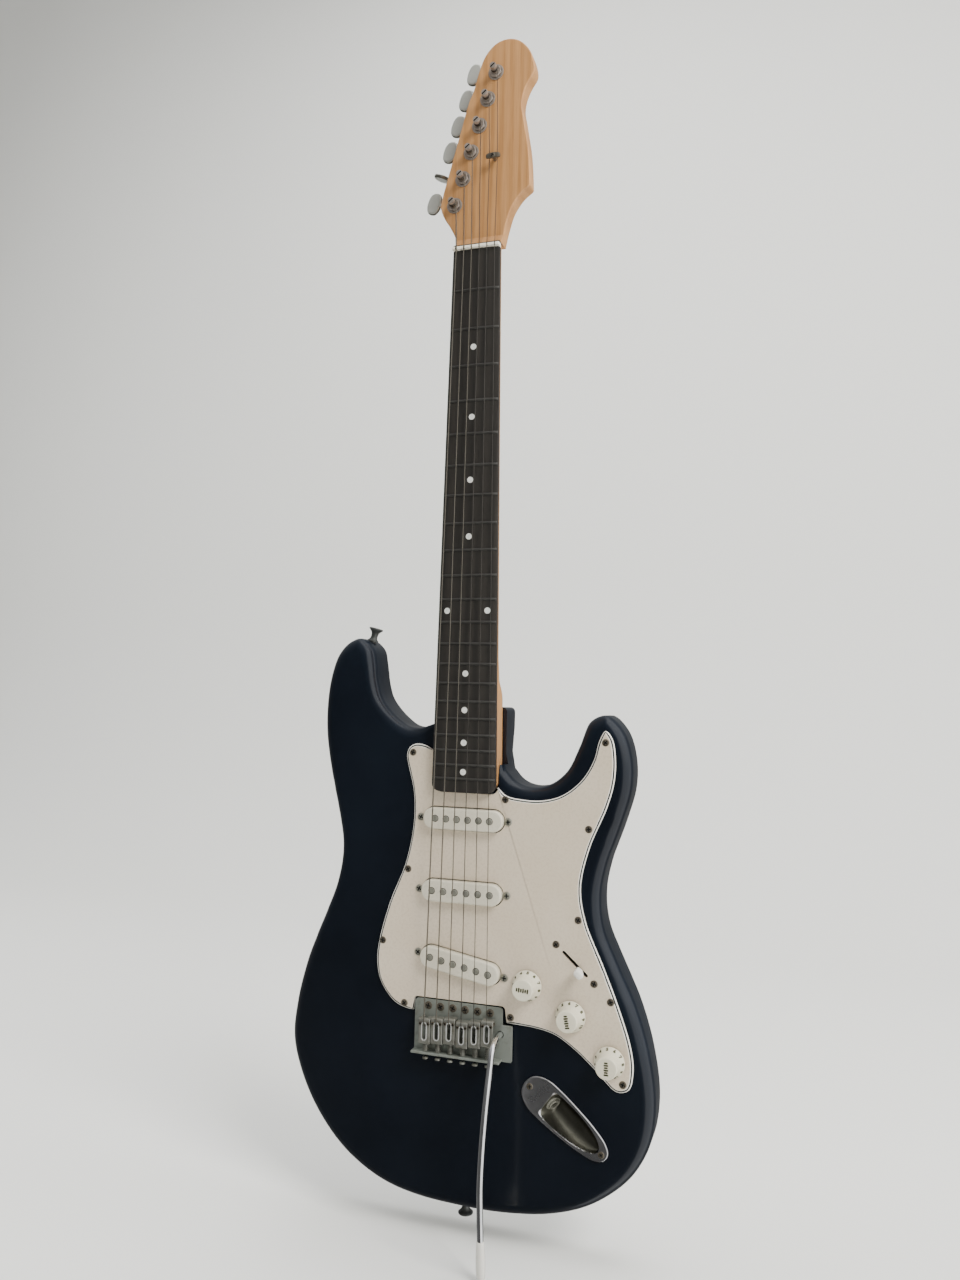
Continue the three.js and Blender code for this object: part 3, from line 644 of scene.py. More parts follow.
def triangulated(bm, border, inner, height):
    """Triangles that fill a ring of vertices through inner points in x and z. height(x, z) gives their y."""
    flat = [Vector((v.co.x, v.co.z)) for v in border]
    count = len(flat)
    made, _, faces, origin, _, _ = geometry.delaunay_2d_cdt(flat + inner, [], [list(range(count))], 1, 1e-6)
    verts = []
    for point, sources in zip(made, origin):
        own = [s for s in sources if s < count]
        verts.append(border[own[0]] if own else bm.verts.new((point.x, height(point.x, point.y), point.y)))
    corners = [[verts[i] for i in face] for face in faces]
    return [bm.faces.new(three) for three in corners if len(set(three)) == 3]


def finish(name, bm, looks, body="root", stands_for=(), smooth=32.0, weighted=True):
    """Turns a mesh drawn in millimetres into a piece that rides on a body, or on none."""
    bmesh.ops.recalc_face_normals(bm, faces=bm.faces[:])
    limit = math.radians(smooth)
    for face in bm.faces:
        face.smooth = True
    for edge in bm.edges:
        edge.smooth = len(edge.link_faces) == 2 and edge.calc_face_angle(0.0) < limit
    for vert in bm.verts:
        vert.co = world(vert.co)
    mesh = bpy.data.meshes.new(name)
    bm.to_mesh(mesh)
    bm.free()
    obj = bpy.data.objects.new(name, mesh)
    bpy.context.scene.collection.objects.link(obj)
    for look in looks if isinstance(looks, (list, tuple)) else [looks]:
        mesh.materials.append(look)
    if weighted:
        modifier = obj.modifiers.new("normals", "WEIGHTED_NORMAL")
        modifier.keep_sharp = True
    if body:
        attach(obj, body)
    if stands_for:
        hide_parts(*stands_for)
    return obj


# ---- screws ----

def cross_head(bm, x, y, z, radius, height, turn, matrix=Matrix(), slots=2):
    """A domed screw head that faces -y at y. Dark bars across it stand for the shade in its drive recess:
    painted shade.
    """
    place = matrix @ seat(x, y, z, turn)
    profile = [(radius * 0.94, height), (radius, height * 0.55), (radius * 0.93, height * 0.2)]
    profile += [(radius * 0.72, -0.02 * radius), (radius * 0.45, -height * 0.16), (0, -height * 0.24)]
    turned(bm, profile, 20, place)
    reach = radius * (0.62 if slots == 2 else 0.9)
    wide = radius * 0.14
    for k in range(slots):
        bar = bmesh.new()
        softened_box(bar, (-reach, -height * 0.27, -wide), (reach, height * 0.4, wide), 0)
        bar.transform(place @ spin(math.pi / 2 * k, "Y"))
        merge(bm, bar, 1)


# ---- body ----

RIM = outlined([
    (-31, 237.5), (-45, 233.8), (-57, 235), (-66.5, 241), (-76, 250), (-83, 260), (-87.5, 275), (-89.5, 290),
    (-93, 303), (-104.5, 311), (-116, 307.5), (-126, 296.5), (-132, 280), (-135.5, 258), (-135.5, 228),
    (-130, 195), (-121, 160), (-115.5, 128), (-120, 96), (-134, 62), (-150, 26), (-162, -14), (-166, -46),
    (-159, -72), (-142, -101), (-113, -129), (-78, -147), (-40, -156), (0, -158.5), (40, -157.5), (80, -151),
    (112, -138), (141, -114), (156, -87), (160.5, -56), (155.5, -18), (144.5, 18), (129, 51), (117.5, 78),
    (114.7, 103), (119, 128), (129.5, 158), (138.5, 190), (138, 216), (131, 236.5), (118, 248.3),
    (104, 243.5), (94.8, 222), (84.6, 201.5), (70, 190), (54, 187.4), (42, 191.5), (32.5, 201),
], 3.2)


def body_outline():
    """The rim, closed across the end of the neck joint."""
    right, left, top = 29.6, -29.0, BODY_HEEL_Z
    corner_right = rounded_corner((right, 215), (right, top), (left, top), 4.0, 5)
    corner_left = rounded_corner((right, top), (left, top), (left, 238), 3.0, 4)
    side = [Vector((right, 215 + 7 * k)) for k in range(5)]
    across = [Vector((right - 7 - 7 * k, top)) for k in range(7)]
    return RIM + side + corner_right + across + corner_left


def contour_depth(x, z):
    """How far the player's forearm bevel sinks the front face."""
    top = 118.0
    along = Vector((66.0, -262.0)).normalized()
    off = Vector((x, z)) - Vector((-116.0, top))
    beyond = max(0.0, off.x * along.y - off.y * along.x)
    return 15.0 * min(beyond / 84.0, 1.15) ** 1.7 * ease((top - z) / 60.0)


def belly_depth(x, z):
    """How far the belly cut sinks the back face."""
    beyond = max(0.0, 16.0 * math.cos((z - 170.0) / 100.0) - 84.0 - x)
    window = clamp((z - 62.0) / 55.0) * clamp((292.0 - z) / 60.0)
    return 15.0 * min(beyond / 52.0, 1.1) ** 1.5 * ease(window)


def fill(bm, border, pitch):
    """Fills a flat ring of vertices with an even grid of triangles."""
    flat = [Vector((v.co.x, v.co.z)) for v in border]
    gap = 0.7 * pitch
    inner = []
    row = 0
    z = min(p.y for p in flat) + pitch * 0.55
    while z < max(p.y for p in flat):
        crossings = []
        for p, q in zip(flat, flat[1:] + flat[:1]):
            if (p.y > z) != (q.y > z):
                crossings.append(p.x + (z - p.y) / (q.y - p.y) * (q.x - p.x))
        crossings.sort()
        for a, b in zip(crossings[::2], crossings[1::2]):
            x = math.ceil((a + gap) / pitch) * pitch + (pitch / 2 if row % 2 else 0)
            while x < b - gap:
                here = Vector((x, z))
                if min((here - p).length_squared for p in flat[::2]) > (0.6 * pitch) ** 2:
                    inner.append(here)
                x += pitch
        z += pitch * 0.87
        row += 1
    triangulated(bm, border, inner, lambda x, z: border[0].co.y)


def heel_edge(point):
    """The edge's rounding fades out towards the neck joint."""
    away = math.hypot(max(abs(point.x) - 29.0, 0.0), max(236.0 - point.y, 0.0))
    return 1.6 + 0.45 * away


def body_ring(outline, steps, limits, t, rear):
    """One line round the body's rounded edge, at angle t from the flat face."""
    ring = []
    for p, step, limit in zip(outline, steps, limits):
        flat = p + step * (limit * (1 - math.sin(t)))
        depth = limit * (1 - math.cos(t))
        ring.append(Vector((flat.x, BODY_THICKNESS - depth if rear else depth, flat.y)))
    return ring


def body_routes():
    """The tools that cut the body's openings."""
    wide = 28.6
    pickup_route = rectangle(92, 24, 9)
    controls = polygon(
        (48, 44), (70, 78), (90, 80), (122, 38), (117.5, 28), (118.5, 18), (132, -6), (137.5, -22),
        (132, -33), (118, -33), (96, -12), (62, 4), (48, 10))
    mouth = [Vector(p) for p in mirrored([(11.5, -22), (12, -2), (10.5, 16), (8.4, 27), (4, 33)])]
    pickup_routes = [cutter(pickup_route, -5.5, 19, seat(0, 0, z, tilt)) for z, tilt in PICKUPS.values()]
    return [
        block(-wide, wide, -5, POCKET_DEPTH, HEEL_Z - 0.5, 300),  # neck pocket
        block(0, 45, -5, POCKET_DEPTH, 205, 300),  # the pocket's open treble side
        block(-45, 0, -5, POCKET_DEPTH, 237.4, 300),  # the pocket's open bass side
        block(-37, 45, -5, 30, -28.5, -4.8),  # way of the tremolo block
        cutter(rectangle(78, 141, 6, 0, ROUTE_Z), 25, 60),  # rear spring route
        block(-37, 45, 25.5, 60, -33.2, 2),  # the block's swing at the back
        cutter(controls, -5, 32),
        *pickup_routes,
        cutter(mouth, -5.2, 34, seat(JACK_X, 0, JACK_Z, JACK_TILT)),
    ]


def make_body():
    outline = body_outline()
    steps = inward(outline)
    limits = round_limits(outline, BODY_ROUND, heel_edge)
    turns = [math.pi / 2 * (k / 9) for k in range(10)]
    rings = [body_ring(outline, steps, limits, t, False) for t in turns]
    rings += [body_ring(outline, steps, limits, t, True) for t in reversed(turns)]
    bm = bmesh.new()
    rows = skin(bm, rings, 0, False)
    fill(bm, rows[0], 5.5)
    fill(bm, rows[-1], 6.5)
    for vert in bm.verts:
        x, y, z = vert.co
        share = clamp((y - BODY_ROUND) / (BODY_THICKNESS - 2 * BODY_ROUND))
        vert.co.y = y + contour_depth(x, z) * (1 - share) - belly_depth(x, z) * share
    for tool in body_routes():
        bm = boolean(bm, tool)
    finish("body_shell", bm, LACQUER, "root", ["body"], smooth=40, weighted=False)


# ---- neck ----

def neck_half_width(z):
    share = (SCALE_LENGTH - z) / (SCALE_LENGTH - HEEL_Z)
    return (NUT_WIDTH + (HEEL_WIDTH - NUT_WIDTH) * share) / 2


def neck_ring(z, half, front, back, power):
    """A line round the neck's back. A higher power makes it squarer."""
    steps = 28
    ring = []
    for k in range(steps + 1):
        turn = math.pi * k / steps
        x = half * signed_power(math.cos(turn), 2 / power)
        ring.append(Vector((x, front + (back - front) * abs(math.sin(turn)) ** (2 / power), z)))
    return ring


def table(z, rows):
    """Values at z, eased between the rows of (z, values...)."""
    if z <= rows[0][0]:
        return rows[0][1:]
    for low, high in zip(rows, rows[1:]):
        if z <= high[0]:
            share = ease((z - low[0]) / (high[0] - low[0]))
            return tuple(a + (b - a) * share for a, b in zip(low[1:], high[1:]))
    return rows[-1][1:]


HEAD_OUTLINE = (
    outlined([(-20.6, 654), (-21.6, 660), (-23.6, 666), (-28, 674.5), (-33.4, 683), (-37.2, 691)], 2.5)[:-1]
    + rounded_corner((-35, 684), (-37.9, 694.5), (-34.6, 709), 2.5, 4)
    + outlined([
        (-35.2, 707), (-29.9, 726), (-24.6, 746), (-19.3, 765.6), (-13.3, 787.5), (-9.4, 796.5), (-4, 815.5),
        (1.5, 828), (11, 837), (21, 839.2), (31, 836.5), (41, 826.5), (46.5, 811), (46.2, 804.5), (42, 798),
        (37.5, 788), (35.7, 777), (38.1, 762.5), (42.8, 734), (44.6, 710),
    ], 2.5)[:-1]
    + rounded_corner((44.6, 714), (44.7, 703), (36.6, 696.9), 3.0, 5)
    + outlined([(40.5, 699.9), (36.4, 696.7), (28, 684.5), (23.8, 671), (21.9, 662), (20.6, 654)], 2.5)
)


def tuner_place(index):
    reach = index * TUNER_SPACING
    return FIRST_POST_X + reach * math.sin(TUNER_TILT), FIRST_POST_Z + reach * math.cos(TUNER_TILT)


def make_neck():
    front = BOARD_BACK + 0.04
    end_back, end_power = 11.3, 2.1
    backs = [(258, POCKET_DEPTH - 0.3, 12), (276, 13.9, 3.2), (300, 13.6, 2.35), (500, 12.1, 2.1),
             (SCALE_LENGTH, end_back, end_power)]
    heights = [HEEL_Z + 0.3 * k * k for k in range(5)] + [190, 220, 250]
    heights += [*range(256, 278, 2), 280, 286, 294, 310, *range(330, 631, 20), SCALE_LENGTH]
    rings = []
    for z in heights:
        back, power = table(z, backs)
        narrow = max(0.0, 1 - (z - HEEL_Z) / 7.0) ** 2 * 8.0
        rings.append(neck_ring(z, neck_half_width(z) - narrow, front, back, power))
    for z in range(650, 683, 2):
        share = ease((z - 648) / 33)
        fall = ease((z - 653) / 10)
        half = NUT_WIDTH / 2 + 0.9 * ease((z - 652) / 22)
        face = front + (0.35 - front) * fall
        rings.append(neck_ring(z, half, face, end_back + 2.6 * share, end_power + 10 * share ** 2))
    shaft = bmesh.new()
    skin(shaft, rings)
    head = bmesh.new()
    slab(head, HEAD_OUTLINE, soft_levels(0, HEAD_THICKNESS, 1.5))
    ramp = polygon(
        (11.0, 640), (11.2, 650), (11.6, 658), (12.5, 668), (13.4, 677), (14.0, 686), (22, 686), (22, 640))
    head = boolean(head, cutter(ramp, -60, 60, spin(math.pi / 2, "Z")))
    whole = boolean(shaft, head, "UNION")
    for i in range(6):
        whole = boolean(whole, cutter(circle(5.2, 24, *tuner_place(i)), -6, 20))
    finish("neck_wood", whole, HEAD_MAPLE, "root", ["neck"], smooth=38)


def board_y(x, z):
    """The fingerboard's crowned surface."""
    return BOARD_FRONT + BOARD_CROWN * (x / neck_half_width(z)) ** 2


def make_board():
    bm = bmesh.new()
    rings = []
    ends = [(BOARD_END_Z + rise, narrow) for rise, narrow in (
        (0, 9.5), (0.25, 6.6), (0.8, 4.4), (1.7, 2.6), (2.9, 1.35), (4.2, 0.55), (5.6, 0.12), (7.0, 0))]
    ends += [(200 + 40 * k, 0) for k in range(12)] + [(SCALE_LENGTH - 0.1, 0)]
    for z, narrow in ends:
        half = neck_half_width(z) - narrow
        ring = []
        for share in span(16):
            soft = 0.45 * max(0.0, abs(share) - 0.94) / 0.06
            ring.append(Vector((half * share, BOARD_FRONT + BOARD_CROWN * share ** 2 + soft, z)))
        side = half + 0.05
        shoulder = BOARD_FRONT + BOARD_CROWN + 1.2
        for x, y in ((side, shoulder), (side, BOARD_SIDE), (-side, BOARD_SIDE), (-side, shoulder)):
            ring.append(Vector((x, y, z)))
        rings.append(ring)
    skin(bm, rings)
    # Behind the nut, a thin dark rosewood strip stands for the nut's shadow on the headstock: painted shade.
    half = NUT_WIDTH / 2  # for the ledge behind the nut
    softened_box(bm, (-half, -8.9, SCALE_LENGTH + 3.1), (half, 0.5, SCALE_LENGTH + 5.0), 0.4)
    finish("rosewood_board", bm, ROSEWOOD, "root", ["fingerboard"], smooth=30)


def fret_z(number):
    return SCALE_LENGTH * 2 ** (-number / 12)


def make_frets():
    bm = bmesh.new()
    for number in range(1, FRET_COUNT + 1):
        z = fret_z(number)
        half = neck_half_width(z) - 0.15
        rings = []
        for share in span(20):
            fade = min(1.0, (1.0 - abs(share)) / 0.045 + 0.12)
            x = half * share
            base = board_y(x, z) + 0.3
            height = 0.3 + 0.95 * fade
            rings.append([Vector((x, base - height * math.sin(t), z + 1.15 * math.cos(t)))
                          for t in (math.pi * j / 8 for j in range(9))])
        skin(bm, rings)
    finish("frets", bm, FRET_WIRE, "root", smooth=60)


def make_dots():
    """Dots on the board's face, and small ones on its bass side."""
    bm = bmesh.new()
    for number in DOT_FRETS:
        middle = (fret_z(number) + fret_z(number - 1)) / 2
        for x in (-17.9, 17.9) if number == TWO_DOT_FRET else (0.0,):
            rings = []
            for radius, rise in ((2.6, -0.25), (2.6, 0.03), (1.7, 0.05), (0.7, 0.06)):
                around = circle(radius, 28, x, middle)
                rings.append([Vector((p.x, board_y(p.x, middle) - rise, p.y)) for p in around])
            skin(bm, rings)
        for off in (-4, 4) if number == TWO_DOT_FRET else (0,):
            z = middle + off
            place = shift(-neck_half_width(z) - 0.06, -6.4, z) @ spin(math.pi / 2, "Z")
            turned(bm, [(0, 0.03), (0.8, 0.0), (0.9, -0.1), (0.9, -0.5), (0, -0.5)], 14, place)
    finish("position_dots", bm, PEARL, "root")


def nut_x(index):
    return (index - 2.5) * NUT_SPACING


def saddle_x(index):
    return (index - 2.5) * SADDLE_SPACING


def make_nut():
    profile = [(0, BOARD_BACK), (0, -11.6), (0.35, -12.05), (1.4, -12.1), (2.6, -11.7), (3.15, -10.8),
               (3.2, BOARD_BACK)]
    half = NUT_WIDTH / 2
    end = [(half, 0.5), (half - 0.4, 0.1), (half - 1.0, 0.0)]
    rings = []
    for x, low in [(-x, low) for x, low in end] + end[::-1]:
        rings.append([Vector((x, min(y + low, BOARD_BACK), SCALE_LENGTH + up)) for up, y in profile])
    bm = bmesh.new()
    skin(bm, rings)
    for i, radius in enumerate(STRING_RADII):
        x = nut_x(i)
        reach = radius + 0.35
        bottom = NUT_STRING_Y + radius + 0.1
        bm = boolean(bm, block(x - reach, x + reach, -20, bottom, SCALE_LENGTH - 5, SCALE_LENGTH + 8))
    finish("bone_nut", bm, BONE, "root", ["nut"], smooth=30)


# ---- pickguard ----

GUARD_OUTLINE = (
    outlined([
        (28.5, 186), (35.5, 180), (49, 177.5), (66, 177.5), (83, 182.5), (99, 195.5), (108.7, 212),
        (113, 228), (118, 236), (123.5, 230), (126.5, 214), (125.5, 194), (119.9, 174), (106.6, 142),
        (99.8, 110), (104, 84), (119.5, 48.7), (131.8, 19.2), (141.7, -10.2), (144, -28), (140.5, -43),
        (131, -45.5), (112.7, -30.1), (97.2, -17.6), (80.7, -8), (64, -4.6), (47, -3.8), (39.6, -3.4),
    ], 2.6)
    + rounded_corner((39.3, 0), (38.6, 9.3), (0, 9.3), 2.6, 5)
    + rounded_corner((0, 9.3), (-40.2, 9.3), (-40.2, 0), 2.6, 5)
    + outlined([
        (-41.2, -2.2), (-46, -2.2), (-59, 2.4), (-71.9, 17.6), (-76, 34), (-74.8, 51), (-65.7, 85),
        (-52, 120), (-45.9, 154), (-46.8, 180), (-52.4, 202), (-54, 210), (-51.6, 217), (-46, 220),
        (-37.2, 219.2), (-29.3, 215),
    ], 2.6)
    + [Vector((-28.4, 200))]
    + rounded_corner((-28.4, 200), (-28.5, 180.7), (0, 180.7), 8.0, 7)
    + rounded_corner((0, 180.7), (28.5, 180.7), (28.5, 188), 5.5, 7)
)
GUARD_SCREWS = [
    (-47.7, 212.7), (-49.3, 114.1), (-70.7, 52.6), (-49.3, 2.7), (35.5, 176.8), (118.4, 226.6),
    (105.8, 156.8), (98.5, 84.3), (125.6, 23.1), (136.1, -38.7), (43.8, 1.5),
]


def guard_edge(point):
    """The guard's bevel is wide on its outer rim, and a mere nick by the bridge and the fingerboard."""
    by_bridge = abs(point.x) < 41.0 and -1.5 < point.y < 12.0
    by_board = abs(point.x) < 30.0 and point.y > 170.0
    return 0.35 if by_bridge or by_board else 3.0


def make_guard():
    bm = bmesh.new()
    levels = [(GUARD_FRONT + depth, inset) for depth, inset in (
        (0, 2.5), (0.06, 2.35), (0.4, 1.95), (1.05, 0.75), (1.6, 0.1), (1.8, 0.0))]
    slab(bm, GUARD_OUTLINE, levels + [(GUARD_BACK, 0.0)], [0, 2, 1, 2, 2, 2], guard_edge)
    holes = [cutter(stadium(71.7, 19.7), -9, 5, seat(0, 0, z, tilt)) for z, tilt in PICKUPS.values()]
    holes += [cutter(circle(4.1, 24, x, z), -9, 5) for x, z in KNOBS.values()]
    holes.append(cutter(stadium(27.4, 2.7, 8), -9, 5, seat(SWITCH_X, 0, SWITCH_Z, SWITCH_TILT)))
    for hole in holes:
        bm = boolean(bm, hole)
    finish("three_ply_pickguard", bm, [GUARD_WHITE, PLY_BLACK, PLY_WHITE], "root", ["pickguard"], smooth=25)
    screws = bmesh.new()
    for k, (x, z) in enumerate(GUARD_SCREWS):
        cross_head(screws, x, GUARD_FRONT - 0.5, z, 3.0, 0.7, 0.3 + 0.7 * k)
    for k, side in enumerate((-21.0, 21.0)):
        x = SWITCH_X + side * math.cos(SWITCH_TILT)
        z = SWITCH_Z - side * math.sin(SWITCH_TILT)
        cross_head(screws, x, GUARD_FRONT - 0.5, z, 3.0, 0.7, 0.9 + k)
    finish("pickguard_screws", screws, [SCREW, PAINTED_SHADE], "root", smooth=50)


# ---- pickups ----

def make_pickup(name, z, tilt):
    place = seat(0, 0, z, tilt)
    bm = bmesh.new()
    slab(bm, stadium(70, 18), soft_levels(PICKUP_FRONT, 0.3, 1.7, 0.0, 5))
    bm.transform(place)
    finish(f"{name}_pickup_cover", bm, COVER_WHITE, "root", [f"{name}_pickup"], smooth=40)
    poles = bmesh.new()
    for i, rise in enumerate((0.45, 0.8, 0.95, 0.75, 0.35, 0.6)):
        seated = place @ shift((i - 2.5) * POLE_SPACING[name], 0, 0)
        top = PICKUP_FRONT - 0.02 - rise
        turned(poles, [(2.5, -8.0), (2.5, top + 0.4), (2.3, top + 0.12), (2.0, top), (0, top)], 24, seated)
        # A black ring round each pole where it meets the cover: painted shade in the gap.
        turned(poles, [(2.95, -8.2), (2.95, -8.73), (2.5, -8.74), (2.5, -8.2)], 24, seated, 1)
    for k, side in enumerate((-38.5, 38.5)):
        cross_head(poles, side, GUARD_FRONT - 1.1, 0, 3.3, 1.2, 0.5 + k, place)
    finish(f"{name}_pickup_poles", poles, [POLE, PAINTED_SHADE], "root", smooth=40)


# ---- knobs and selector ----

def digit_mesh(text):
    """A flat number as a mesh about the origin, in x and z, that faces -y."""
    curve = bpy.data.curves.new("number", "FONT")
    curve.body = text
    curve.size = 4.0
    curve.align_x = "CENTER"
    curve.align_y = "CENTER"
    curve.extrude = 0.06
    curve.offset = 0.22
    curve.resolution_u = 2
    obj = bpy.data.objects.new("number", curve)
    bpy.context.scene.collection.objects.link(obj)
    depsgraph = bpy.context.evaluated_depsgraph_get()
    mesh = bpy.data.meshes.new_from_object(obj.evaluated_get(depsgraph))
    made = bmesh.new()
    made.from_mesh(mesh)
    made.transform(spin(math.pi / 2, "X"))
    bpy.data.objects.remove(obj)
    bpy.data.curves.remove(curve)
    bpy.data.meshes.remove(mesh)
    return made


def make_knob(name, x, z, turn, mark_turn):
    """A fluted cap with a numbered skirt. turn places the numbers, and mark_turn the strokes on its top."""
    body = f"{name}_knob"
    profile = [
        (6.0, -3.9), (11.9, -3.9), (12.2, -4.15), (12.2, -5.0), (12.0, -5.35), (11.0, -6.9), (10.4, -8.0),
        (10.0, -9.0), (9.6, -10.1), (9.35, -11.0), (9.2, -11.8), (8.9, -15.0), (8.7, -17.8), (8.5, -18.6),
        (8.1, -19.05), (7.5, -19.2), (4.0, -19.12), (0, -19.1),
    ]
    flutes = {-11.0: 0.4, -11.8: 1.0, -15.0: 1.0, -17.8: 1.0, -18.6: 0.55}  # how deep, at each height

    def flute(angle, y):
        return 1.0 - 0.022 * flutes.get(y, 0.0) * (0.5 + 0.5 * math.cos(angle * 48))

    bm = bmesh.new()
    turned(bm, profile, 192, seat(x, 0, z), 0, flute)
    finish(f"{name}_knob_cap", bm, KNOB_WHITE, body, [body], smooth=50)
    marks = bmesh.new()
    slope = math.atan2(12.0 - 10.0, 9.0 - 5.35)  # of the skirt under its numbers
    on_skirt = shift(0, -7.15, 10.98) @ spin(slope - math.pi / 2, "X")
    for number in range(1, 11):
        digit = digit_mesh(str(number))
        digit.transform(seat(x, 0, z, turn + math.radians(31 * (number - 1) - 140)) @ on_skirt)
        merge(marks, digit)
    for step in range(6):
        stroke = bmesh.new()
        slab(stroke, stadium(3.8 if step % 2 else 3.0, 1.3, 6), [(-19.27, 0.1), (-19.22, 0), (-19.0, 0)])
        stroke.transform(seat(x, 0, z, mark_turn) @ shift((step - 2.5) * 1.8, 0, 0) @ spin(math.pi / 2, "Y"))
        merge(marks, stroke)
    finish(f"{name}_knob_marks", marks, KNOB_MARK, body, smooth=30, weighted=False)


def make_lever():
    place = seat(SWITCH_X, SWITCH_DEPTH, SWITCH_Z, SWITCH_TILT) @ spin(SWITCH_THROW, "Z")
    blade = bmesh.new()
    softened_box(blade, (-2.1, -26.5, -0.65), (2.1, 0, 0.65), 0.2)
    turned(blade, [(0, -0.7), (2.9, -0.7), (2.9, 0.7), (0, 0.7)], 24, spin(math.pi / 2, "X"))
    blade.transform(place)
    finish("selector_blade", blade, STEEL, "selector_lever", ["selector_lever"])
    rings = []
    for y, wide, deep in ((-25.0, 5.0, 4.2), (-25.3, 6.2, 5.2), (-27.5, 7.0, 5.8), (-30.5, 7.9, 6.3),
                          (-32.6, 7.9, 6.3), (-33.8, 7.0, 5.6), (-34.4, 5.2, 4.2), (-34.5, 2.5, 2.0)):
        rings.append(drawn(rectangle(wide, deep, min(wide, deep) * 0.42, steps=6), y))
    tip = bmesh.new()
    skin(tip, rings)
    tip.transform(place)
    finish("selector_tip", tip, TIP_WHITE, "selector_lever", smooth=50)


# ---- jack ----

def trough_depth(x, z):
    """Depth of the boat-shaped recess below the jack plate's face, at a place on the plate."""
    along = (z + 6.0) / 39.6
    if abs(along) >= 1:
        return 0.0
    across = min(abs(x) / (12.1 * math.sqrt(1 - along * along)), 1.0)
    bounds = (max(0.0, z + 19.3) * 14.0 / 8.5, 4.0 + (33.0 - z) * 0.225)  # the end wall and the long floor
    soft = 0.9
    low = min(bounds)
    floor = low - soft * math.log(sum(math.exp((low - bound) / soft) for bound in bounds))
    return max(0.0, floor) * (1 - across ** 2.6) ** 0.8


def inside(flat, x, z):
    hit = False
    for p, q in zip(flat, flat[1:] + flat[:1]):
        if (p.y > z) != (q.y > z) and x < p.x + (z - p.y) / (q.y - p.y) * (q.x - p.x):
            hit = not hit
    return hit


def make_jack_plate(place):
    side = [(9, -38.5), (14.5, -29), (15.5, -16), (14.5, 2), (12, 22), (8.5, 35), (3.5, 41.2)]
    egg = outlined([(0, -41.5)] + mirrored(side), 1.3, True)
    steps = inward(egg)
    rings = [drawn([p + s * inset for p, s in zip(egg, steps)], y)
             for y, inset in ((-0.35, 0.0), (-1.0, 0.0), (-1.45, 0.2), (-1.75, 0.6), (JACK_FACE, 1.2))]
    bm = bmesh.new()
    border = skin(bm, rings, 0, False)[-1]
    flat = [Vector((v.co.x, v.co.z)) for v in border]
    pitch = 0.55
    inner = []
    for row in range(-70, 71):
        z = row * pitch
        for column in range(-28, 29):
            x = column * pitch + (pitch / 2 if row % 2 else 0)
            here = Vector((x, z))
            if min((here - p).length_squared for p in flat) > 0.5 and inside(flat, x, z):
                inner.append(here)
    # Faces more than about 1.5 mm down in the recess take the darker chrome: painted shade.
    for face in triangulated(bm, border, inner, lambda x, z: JACK_FACE + trough_depth(x, z)):
        face.material_index = 1 if max(v.co.y for v in face.verts) > -0.4 else 0
    bm.transform(place)
    looks = [WORN_CHROME, SHADED_RECESS_CHROME]
    shell = finish("jack_plate_shell", bm, looks, "root", ["jack_plate"], smooth=38, weighted=False)
    thick = shell.modifiers.new("sheet", "SOLIDIFY")
    thick.thickness = 0.0004
    thick.offset = -1.0


def make_jack():
    place = seat(JACK_X, 0, JACK_Z, JACK_TILT)
    make_jack_plate(place)
    screws = bmesh.new()
    for k, z in enumerate((-36.5, 37.0)):
        cross_head(screws, 0, JACK_FACE - 0.5, z, 2.7, 0.7, 0.8 + k, place)
    finish("jack_plate_screws", screws, [SCREW, PAINTED_SHADE], "root", smooth=50)
    lean = math.atan2(8.5, 14.0)  # of the recess's end wall
    socket_place = place @ shift(0, 6.6, -15.1) @ spin(lean - math.pi / 2, "X")
    socket = bmesh.new()
    ring = [(3.2, 6.0), (3.2, -3.0), (3.5, -3.3), (4.4, -3.3), (4.7, -3.0), (4.7, -1.8), (6.2, -1.6),
            (6.6, -1.2), (6.6, 0.4)]
    turned(socket, ring, 40, socket_place)
    # A black disc down the socket's bore: painted shade in its hole.
    turned(socket, [(3.2, 5.0), (0, 5.0)], 40, socket_place, 1)
    finish("jack_nut", socket, [POLE, PAINTED_SHADE], "root", ["jack_socket"], smooth=35)


# ---- bridge ----

def make_bridge():
    corners = [(37.5, 8.5), (-39, 8.5), (-39, -34), (46, -34), (46, -5), (37.5, -5)]
    outline = rounded_outline(corners, [2.5, 3.0, 0.6, 1.6, 1.6, 0], 4)
    bm = bmesh.new()
    slab(bm, outline, soft_levels(PLATE_FRONT, PLATE_BACK, 0.45, 0.2, 2))
    lip = bmesh.new()
    softened_box(lip, (-39, -12.2, -34), (37.5, PLATE_FRONT + 1.0, -32), 0.55, 3)
    bm = boolean(bm, lip, "UNION")
    for i in range(6):
        bm = boolean(bm, cutter(circle(1.7, 18, saddle_x(i), STRING_HOLE_Z), -9, 5))
    bm = boolean(bm, cutter(circle(2.9, 24, ARM_X, ARM_Z), -9, 5))
    finish("bridge_base", bm, NICKEL, "bridge", ["bridge_plate"], smooth=35)
    screws = bmesh.new()
    for i in range(6):
        cross_head(screws, saddle_x(i), PLATE_FRONT - 0.8, PIVOT_Z, 3.3, 0.9, 0.2 + 0.9 * i)
    finish("pivot_screws", screws, [SCREW, PAINTED_SHADE], "root", smooth=45)
    fittings = bmesh.new()
    for i in range(6):
        make_intonation(i, fittings)
    finish("intonation_screws", fittings, [SADDLE_STEEL, PAINTED_SHADE], "bridge", smooth=45)


